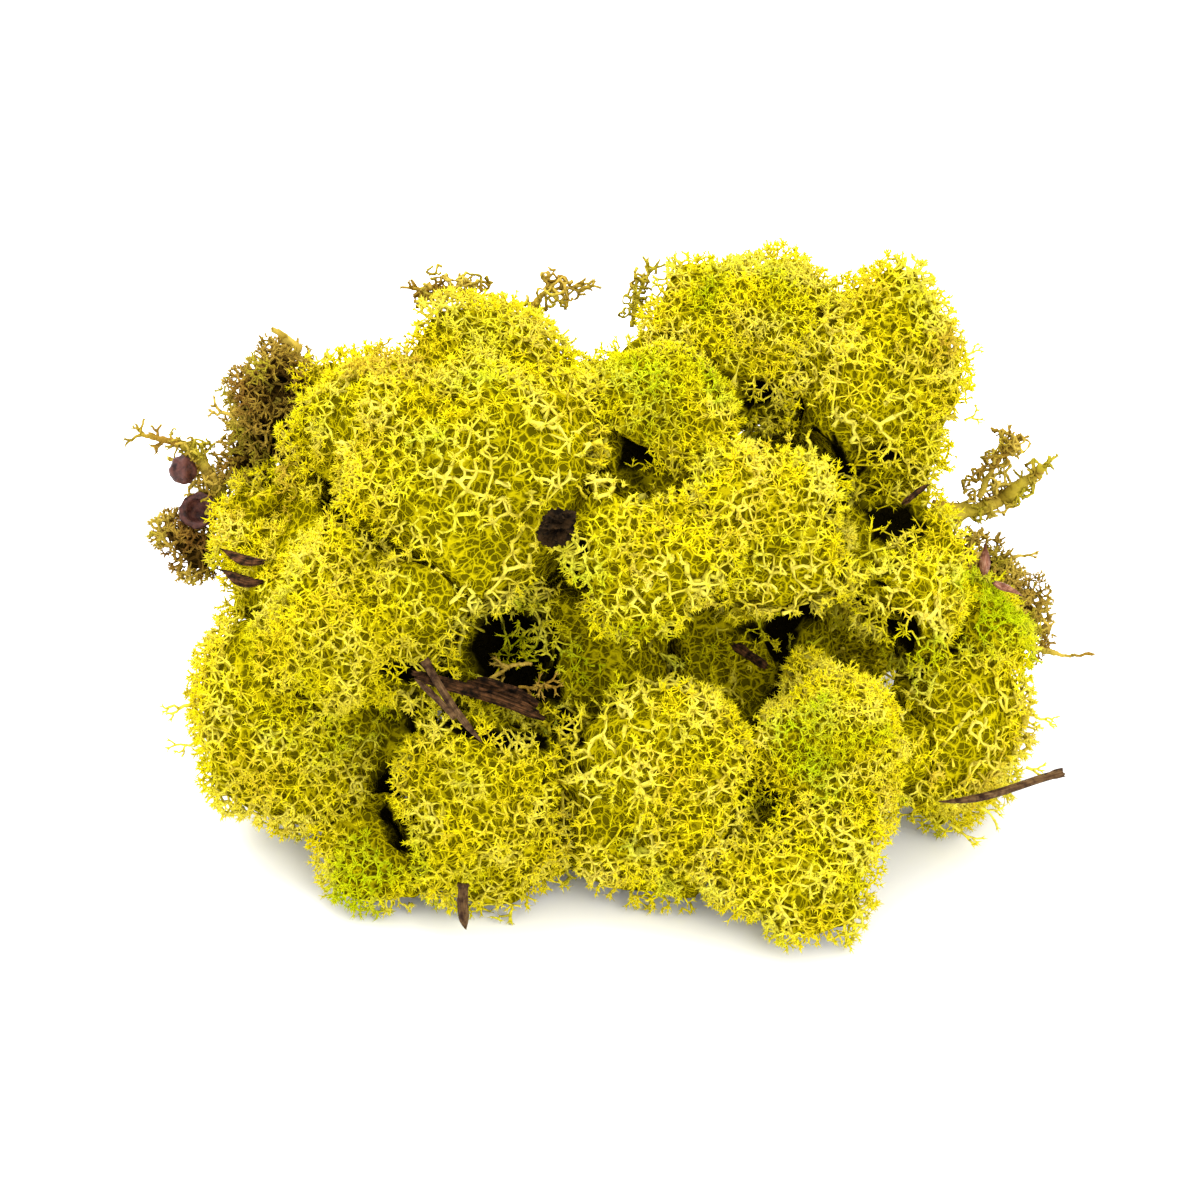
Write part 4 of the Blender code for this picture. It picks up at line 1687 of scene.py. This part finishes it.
def start_group(name: str, given: str) -> tuple[Nodes, NodeSocket, NodeSocket]:
    """The nodes of a new group that makes a value from one number, the number's socket and the value's."""
    group = bpy.data.node_groups.new(name, "ShaderNodeTree")
    group.interface.new_socket(given, in_out="INPUT", socket_type="NodeSocketFloat")
    group.interface.new_socket("Value", in_out="OUTPUT", socket_type="NodeSocketFloat")
    nodes = Nodes(group)
    return nodes, nodes.add("NodeGroupInput").outputs[given], nodes.add("NodeGroupOutput").inputs["Value"]


def mottle_group() -> NodeTree:
    """The cloudy variation that all the finishes share: a value from 0 to 1 in bumps of a given size."""
    nodes, size, value = start_group("mottle", "Size")
    contrast = (0.3, 0.7)
    noise = nodes.noise(nodes.place(), nodes.math("DIVIDE", 1.0, size), detail=3)
    nodes.link(nodes.spread(noise.outputs["Fac"], *contrast), value)
    return nodes.tree


def strand_group() -> NodeTree:
    """The pattern of crossing branches that are too deep to show their form: 1 on a strand, 0 between."""
    nodes, size, value = start_group("strand pattern", "Size")
    bends_per_metre, bend_size, thin_strength, core = 350, 2 * MM, 0.7, 0.02
    place = nodes.place()
    bend = nodes.add("ShaderNodeVectorMath", operation="MULTIPLY_ADD")
    nodes.link(nodes.noise(place, bends_per_metre).outputs["Color"], bend.inputs[0])
    bend.inputs[1].default_value = (bend_size, bend_size, bend_size)
    nodes.link(place, bend.inputs[2])
    layers = []
    for share, width in ((1.0, 0.16), (0.62, 0.12)):
        cells = nodes.add("ShaderNodeTexVoronoi", feature="DISTANCE_TO_EDGE")
        nodes.link(bend.outputs["Vector"], cells.inputs["Vector"])
        nodes.link(nodes.math("DIVIDE", 1.0, nodes.times(size, share)), cells.inputs["Scale"])
        layers.append(nodes.spread(cells.outputs["Distance"], core, width, (1.0, 0.0)))
    wide, thin = layers
    nodes.link(nodes.math("MAXIMUM", wide, nodes.times(thin, thin_strength)), value)
    return nodes.tree


def grain_group() -> NodeTree:
    """Streaks that run along a needle or a strip: a value from 0 to 1 from the traits of the piece."""
    nodes, streaks, value = start_group("grain", "Streaks")
    along, aside, _, up = nodes.traits()
    lengthwise, contrast = 4.0, (0.35, 0.65)
    place = nodes.add("ShaderNodeCombineXYZ")
    for axis, part in (("X", (along, lengthwise)), ("Y", (aside, streaks)), ("Z", (up, streaks))):
        nodes.link(nodes.times(*part), place.inputs[axis])
    noise = nodes.noise(place.outputs["Vector"], 1.0, detail=4)
    nodes.link(nodes.spread(noise.outputs["Fac"], *contrast), value)
    return nodes.tree


@dataclass(frozen=True)
class LichenFinish:
    """Matte lichen: colours as linear RGB for its branches, tips and green parts, and the dark olive of the
    painted shade on its deep parts, which the mottle also uses.
    """

    name: str
    body: Triple
    pale: Triple
    tip: Triple
    green: Triple
    deep: Triple
    tan: Triple
    rust: Triple = (0.36, 0.17, 0.03)
    black: Triple = (0.004, 0.003, 0.0005)
    roughness: float = 0.7
    shine: float = 0.01
    mottle_size: float = 6 * MM
    mottle_share: float = 0.3
    strand_gap: float = 2.4 * MM
    deep_share: float = 0.5

    # How much less the tips colour a pale branch, and where along it they start to
    PALE_TIPS = 0.6
    TIP_RANGE = (0.2, 0.9)
    # Rusty grains at the tips: how many to the metre, how sharp, from where, and how strong
    GRAINS = 320
    GRAIN_RANGE = (0.62, 0.75)
    RUST_RANGE = (0.5, 1.0)
    RUST = 0.5
    # Painted shade: where branches turn black, and how dark the mass is between its strands
    BLACK_RANGE = (0.8, 1.2)
    MASS_RANGE = (0.1, 0.9)
    BETWEEN = 0.2
    MASS_ROUGHNESS = 0.9
    MASS_BUMP = 0.5 * MM

    def make(self, mottle: NodeTree) -> Material:
        """Make the material of the branches."""
        material, nodes = start_material(self.name)
        tip, hue, deep, pale = nodes.traits()
        colour = nodes.mix(pale, self.body, self.pale)
        plain = nodes.math("SUBTRACT", 1.0, nodes.times(pale, self.PALE_TIPS))
        colour = nodes.mix(nodes.times(nodes.spread(tip, *self.TIP_RANGE), plain), colour, self.tip)
        grains = nodes.spread(nodes.noise(nodes.place(), self.GRAINS).outputs["Fac"], *self.GRAIN_RANGE)
        rusty = nodes.times(grains, nodes.spread(tip, *self.RUST_RANGE))
        colour = nodes.mix(nodes.times(rusty, self.RUST), colour, self.rust)
        colour = nodes.mix(nodes.spread(hue, OWN_HUE, 1.0), colour, self.green)
        colour = nodes.mix(nodes.spread(hue, OWN_HUE, 0.0), colour, self.tan)
        cloud = nodes.times(nodes.use(mottle, self.mottle_size), self.mottle_share)
        colour = nodes.mix(cloud, colour, self.deep)
        # Painted shade: the branches darken towards the dark olive and then to black as their shade trait
        # grows
        colour = nodes.mix(nodes.times(deep, self.deep_share), colour, self.deep)
        colour = nodes.mix(nodes.spread(deep, *self.BLACK_RANGE), colour, self.black)
        nodes.finish(colour, self.roughness, self.shine)
        return material

    def make_deep(self, strands: NodeTree) -> Material:
        """Make the material of the mass of deeper branches, with painted shade between its strands and
        painted black where it is sunk.
        """
        material, nodes = start_material(self.name + " deep")
        strand = nodes.use(strands, self.strand_gap)
        between = tuple(self.BETWEEN * part for part in self.deep)
        sunk = nodes.spread(nodes.traits()[2], *self.MASS_RANGE)
        colour = nodes.mix(sunk, nodes.mix(strand, between, self.deep), self.black)
        nodes.finish(colour, self.MASS_ROUGHNESS, 0.0, strand, self.MASS_BUMP)
        return material


LIME = LichenFinish(
    "lime lichen", body=(0.77, 0.64, 0.005), pale=(0.77, 0.685, 0.10), tip=(0.80, 0.685, 0.005),
    green=(0.46, 0.55, 0.003), deep=(0.42, 0.35, 0.002), tan=(0.52, 0.33, 0.03),
)
DEAD = LichenFinish(
    "dead lichen", body=(0.29, 0.17, 0.02), pale=(0.60, 0.45, 0.07), tip=(0.45, 0.30, 0.04),
    green=(0.40, 0.34, 0.02), deep=(0.07, 0.038, 0.006), tan=(0.22, 0.10, 0.02), rust=(0.05, 0.03, 0.01),
    black=(0.005, 0.003, 0.001), mottle_size=4 * MM, strand_gap=3.5 * MM,
)


@dataclass(frozen=True)
class WoodFinish:
    """Dry bark, needle or husk: its dark, middle and light colours as linear RGB."""

    name: str
    dark: Triple
    middle: Triple
    light: Triple
    roughness: float = 0.75
    streaks: float = 9.0
    mottle_size: float = 1.5 * MM
    bump: float = 0.15 * MM
    shine: float = 0.06

    def make(self, grain: NodeTree, mottle: NodeTree) -> Material:
        """Make the material."""
        material, nodes = start_material(self.name)
        streak, cloud = nodes.use(grain, self.streaks), nodes.use(mottle, self.mottle_size)
        colour = nodes.mix(cloud, self.dark, self.middle)
        colour = nodes.mix(nodes.times(streak, cloud), colour, self.light)
        nodes.finish(colour, self.roughness, self.shine, nodes.math("ADD", streak, cloud), self.bump)
        return material


NEEDLE = WoodFinish("needle", (0.025, 0.010, 0.005), (0.085, 0.042, 0.016), (0.19, 0.11, 0.045), 0.5, 12.0)
BARK = WoodFinish("bark", (0.003, 0.0015, 0.0004), (0.018, 0.008, 0.002), (0.12, 0.05, 0.018), 0.85)
CRUMBS = WoodFinish(
    "crumbling bark", (0.002, 0.001, 0.0004), (0.012, 0.008, 0.002), (0.04, 0.018, 0.006), 0.9
)
HUSK = WoodFinish("husk", (0.015, 0.004, 0.003), (0.055, 0.016, 0.013), (0.14, 0.05, 0.035), 0.5, shine=0.2)
BUD = WoodFinish("bud scale", (0.12, 0.035, 0.015), (0.28, 0.10, 0.055), (0.45, 0.24, 0.15), 0.5, shine=0.15)


@dataclass(frozen=True)
class SoftBox:
    """A square soft light: its place and the length of its side in metres, and its power in watts."""

    name: str
    place: Triple
    size: float
    power: float


@dataclass
class Studio:
    """The pale floor, the soft lights and the camera, as the photograph has them. Sizes in metres."""

    target: Vector = field(default_factory=lambda: Vector((-1.89, 0.56, 43.5)) * MM)
    distance: float = 0.9
    lens: float = 135.0
    nearest: float = 0.01
    floor_size: float = 6.0
    floor_colour: Triple = (0.97, 0.97, 0.97)
    floor_roughness: float = 0.9
    floor_shine: float = 0.1
    world_strength: float = 1.7
    lights: tuple[SoftBox, ...] = (
        SoftBox("soft box above", (-0.2, 0.3, 0.9), 0.7, 12.5),
        SoftBox("soft box front", (0.4, -0.9, 0.7), 0.6, 7.5),
    )

    def build(self) -> None:
        """Make everything round the object."""
        self._floor()
        self._world()
        for light in self.lights:
            self._light(light)
        self._camera()

    def _floor(self) -> None:
        """A plain pale floor."""
        mesh = bmesh.new()
        bmesh.ops.create_grid(mesh, x_segments=1, y_segments=1, size=self.floor_size / 2)
        data = finish_mesh(mesh, "floor")
        material, nodes = start_material("floor")
        nodes.finish(self.floor_colour, self.floor_roughness, self.floor_shine)
        data.materials.append(material)
        place_object("floor", data)

    def _world(self) -> None:
        """White light from all round."""
        world = bpy.data.worlds.new("studio")
        world.use_nodes = True
        background = world.node_tree.nodes["Background"]
        background.inputs["Color"].default_value = (1, 1, 1, 1)
        background.inputs["Strength"].default_value = self.world_strength
        bpy.context.scene.world = world

    def _light(self, box: SoftBox) -> None:
        """A soft light that faces the object."""
        data = bpy.data.lights.new(box.name, "AREA")
        data.shape = "SQUARE"
        data.size = box.size
        data.energy = box.power
        light = place_object(box.name, data)
        light.location = box.place
        light.rotation_euler = (Vector(box.place) - self.target).to_track_quat("Z", "Y").to_euler()

    def _camera(self) -> None:
        """The camera at the photograph's angle."""
        data = bpy.data.cameras.new("camera")
        data.lens = self.lens
        data.clip_start = self.nearest
        camera = place_object("camera", data)
        back = Vector(TOWARDS_VIEWER)
        camera.location = self.target + back * self.distance
        camera.rotation_euler = back.to_track_quat("Z", "Y").to_euler()
        bpy.context.scene.camera = camera
        bpy.context.scene.view_settings.view_transform = "Standard"


LOOSE = {
    "top_right": (Stray((74, 14, 79), 4), Stray((73, 20, 90), 3)),
    "lower_left": (Stray((-88, -15, 27), 5, 0.45), Stray((-87, -20, 21), 5), Stray((-84, -12, 33), 4)),
    "right_end": tuple(
        Stray(end, length)
        for end, length in (((88, -20, 28), 4), ((86, -27, 20), 4), ((78, -33, 13), 6), ((72, -34, 9), 6))
    ),
}
CUSHIONS = tuple(
    Cushion("cushion_" + name, net, green, seed=number, strays=LOOSE.get(name, ()))
    for number, (name, net, green) in enumerate((
        ("upper_left", Net.EVEN, 0.0), ("upper_left_side", Net.CLOSE, 0.0), ("top_green", Net.CLOSE, 0.1),
        ("top_middle", Net.CLOSE, 0.12), ("top_right", Net.EVEN, 0.0), ("middle", Net.EVEN, 0.0),
        ("middle_right", Net.EVEN, 0.0), ("right", Net.EVEN, 0.05), ("far_right", Net.CLOSE, 0.3),
        ("left", Net.CLOSE, 0.0), ("left_middle", Net.EVEN, 0.0), ("lower_left", Net.EVEN, 0.0),
        ("bottom_left", Net.CLOSE, 0.15), ("lower_centre", Net.EVEN, 0.0), ("lower_middle", Net.EVEN, 0.0),
        ("lower_right", Net.CLOSE, 0.05), ("right_end", Net.EVEN, 0.0), ("bottom_right", Net.EVEN, 0.0),
        ("inner_left", Net.EVEN, 0.2), ("inner_right", Net.EVEN, 0.2), ("back_left", Net.EVEN, 0.0),
        ("back_middle", Net.EVEN, 0.0), ("back_right", Net.EVEN, 0.0),
    ), 1)
)
DEAD_LUMPS = tuple(
    Cushion(
        node, Net.DEAD, green, 0.5, "dead_lichen", seed,
        relief=2.4, lost_share=0.3, bow=0.22, coarse=0.2, mottle=0.7, strays=strays,
    )
    for node, green, seed, strays in (
        ("dead_lichen_upper_left", 0.1, 31, (Stray((-68, 30, 90), 8, 0.9, 1), Stray((-80, 28, 72), 5, 0.5))),
        ("dead_lichen_left_low", -0.1, 32, ()),
        ("dead_lichen_right", 0.3, 33, (Stray((86, 20, 42), 4, 0.4),)),
    )
)
DEAD_BRANCHES = (
    DeadBranch("dead_branch_right", 41, twigs=7, green=0.5, thick=0.95, web=3.0),
    DeadBranch("dead_fork_right", 42, twigs=6, green=0.1, web=3.8),
    DeadBranch("dead_tip_right", 43, twigs=3, levels=0, length=1.4, thick=0.6, web=0),
    DeadBranch("dead_stalk_left", 44, twigs=6, green=0.3, thick=1.1, web=4.4, shift=(-0.6, 0, -2.4)),
    DeadBranch(
        "dead_fork_left", 45, twigs=7, length=2.2, green=0.1, web=0, reach=0.7, shift=(-0.4, 0, -2.4)
    ),
    DeadBranch("dead_wisp_top_left", 46, twigs=8, green=0.3, thick=0.6, web=3.6),
    DeadBranch("dead_wisp_top_right", 47, twigs=7, green=0.2, thick=0.6, web=3.2),
    DeadBranch("dead_wisp_top_middle", 48, twigs=7, green=0.6, thick=0.6, web=3.0),
    DeadBranch("dead_sprig_upper", 49, twigs=7, length=2.8, green=0.0, thick=0.6, web=0),
    DeadBranch("dead_sprig_lower", 50, twigs=7, length=2.4, green=0.0, thick=0.6, web=0),
)
SLENDER = (
    Slender("needle_right", "needle", Form.NEEDLE, 61, 0.05, thick=1.2, flip=True),
    Slender("needle_bottom", "needle", Form.NEEDLE, 62, 0.05, thick=1.4, stretch=(0.0, 0.8)),
    Slender("needle_pair_upper", "needle", Form.NEEDLE, 63, 0.05),
    Slender("needle_pair_lower", "needle", Form.NEEDLE, 64, 0.05),
    Slender("bark_strip_back", "bark", Form.STRIP, 65, 0.16, thick=1.7, splinters=3),
    Slender("bark_strip_front", "bark", Form.STRIP, 66, 0.16, thick=1.1, splinters=2),
    Slender("scale_left_upper", "bark", Form.SCALE, 67, 0.08, thick=0.75, stretch=(-0.5, 1.0)),
    Slender("scale_left_lower", "bark", Form.SCALE, 68, 0.08, thick=0.75, stretch=(-0.4, 1.0)),
    Slender("twig_stub_middle", "bark", Form.STUB, 69, 0.14, thick=0.7, stretch=(0.35, 0.95)),
    Slender("bark_right_upper", "bark", Form.STUB, 70, 0.14, thick=0.6, stretch=(0.0, 0.85)),
    Slender("bud_right_upper", "husk", Form.SCALE, 71, 0.06, thick=0.62),
    Slender("bud_right_lower", "husk", Form.SCALE, 72, 0.06, thick=0.62),
)
HUSKS = (
    Husk("husk_upper_left", 81, 0.0, (1.2, 0.4), 0.75),
    Husk("husk_lower_left", 82, 0.8, (0.9, -0.3), 0.9),
)
CHIP = BarkChip("bark_chip_upper", 91)


def main() -> None:
    """Build the clump and the studio."""
    logging.basicConfig(level=logging.INFO, format="%(message)s", force=True)
    heap = Heap([cushion.node for cushion in CUSHIONS + DEAD_LUMPS])
    mottle, strands, grain = mottle_group(), strand_group(), grain_group()
    lime, dead = ([finish.make(mottle), finish.make_deep(strands)] for finish in (LIME, DEAD))
    bark = BARK.make(grain, mottle)
    finishes = {"needle": NEEDLE.make(grain, mottle), "bark": bark, "husk": BUD.make(grain, mottle)}
    for cushion in CUSHIONS:
        cushion.build(heap, lime)
    for lump in DEAD_LUMPS:
        lump.build(heap, dead)
    for branch in DEAD_BRANCHES:
        branch.build(dead[:1])
    for piece in SLENDER:
        piece.build(finishes[piece.slot])
    husk = HUSK.make(grain, mottle)
    for piece in HUSKS:
        piece.build(husk)
    CHIP.build(CRUMBS.make(grain, mottle))
    Studio().build()


if __name__ == "__main__":
    main()
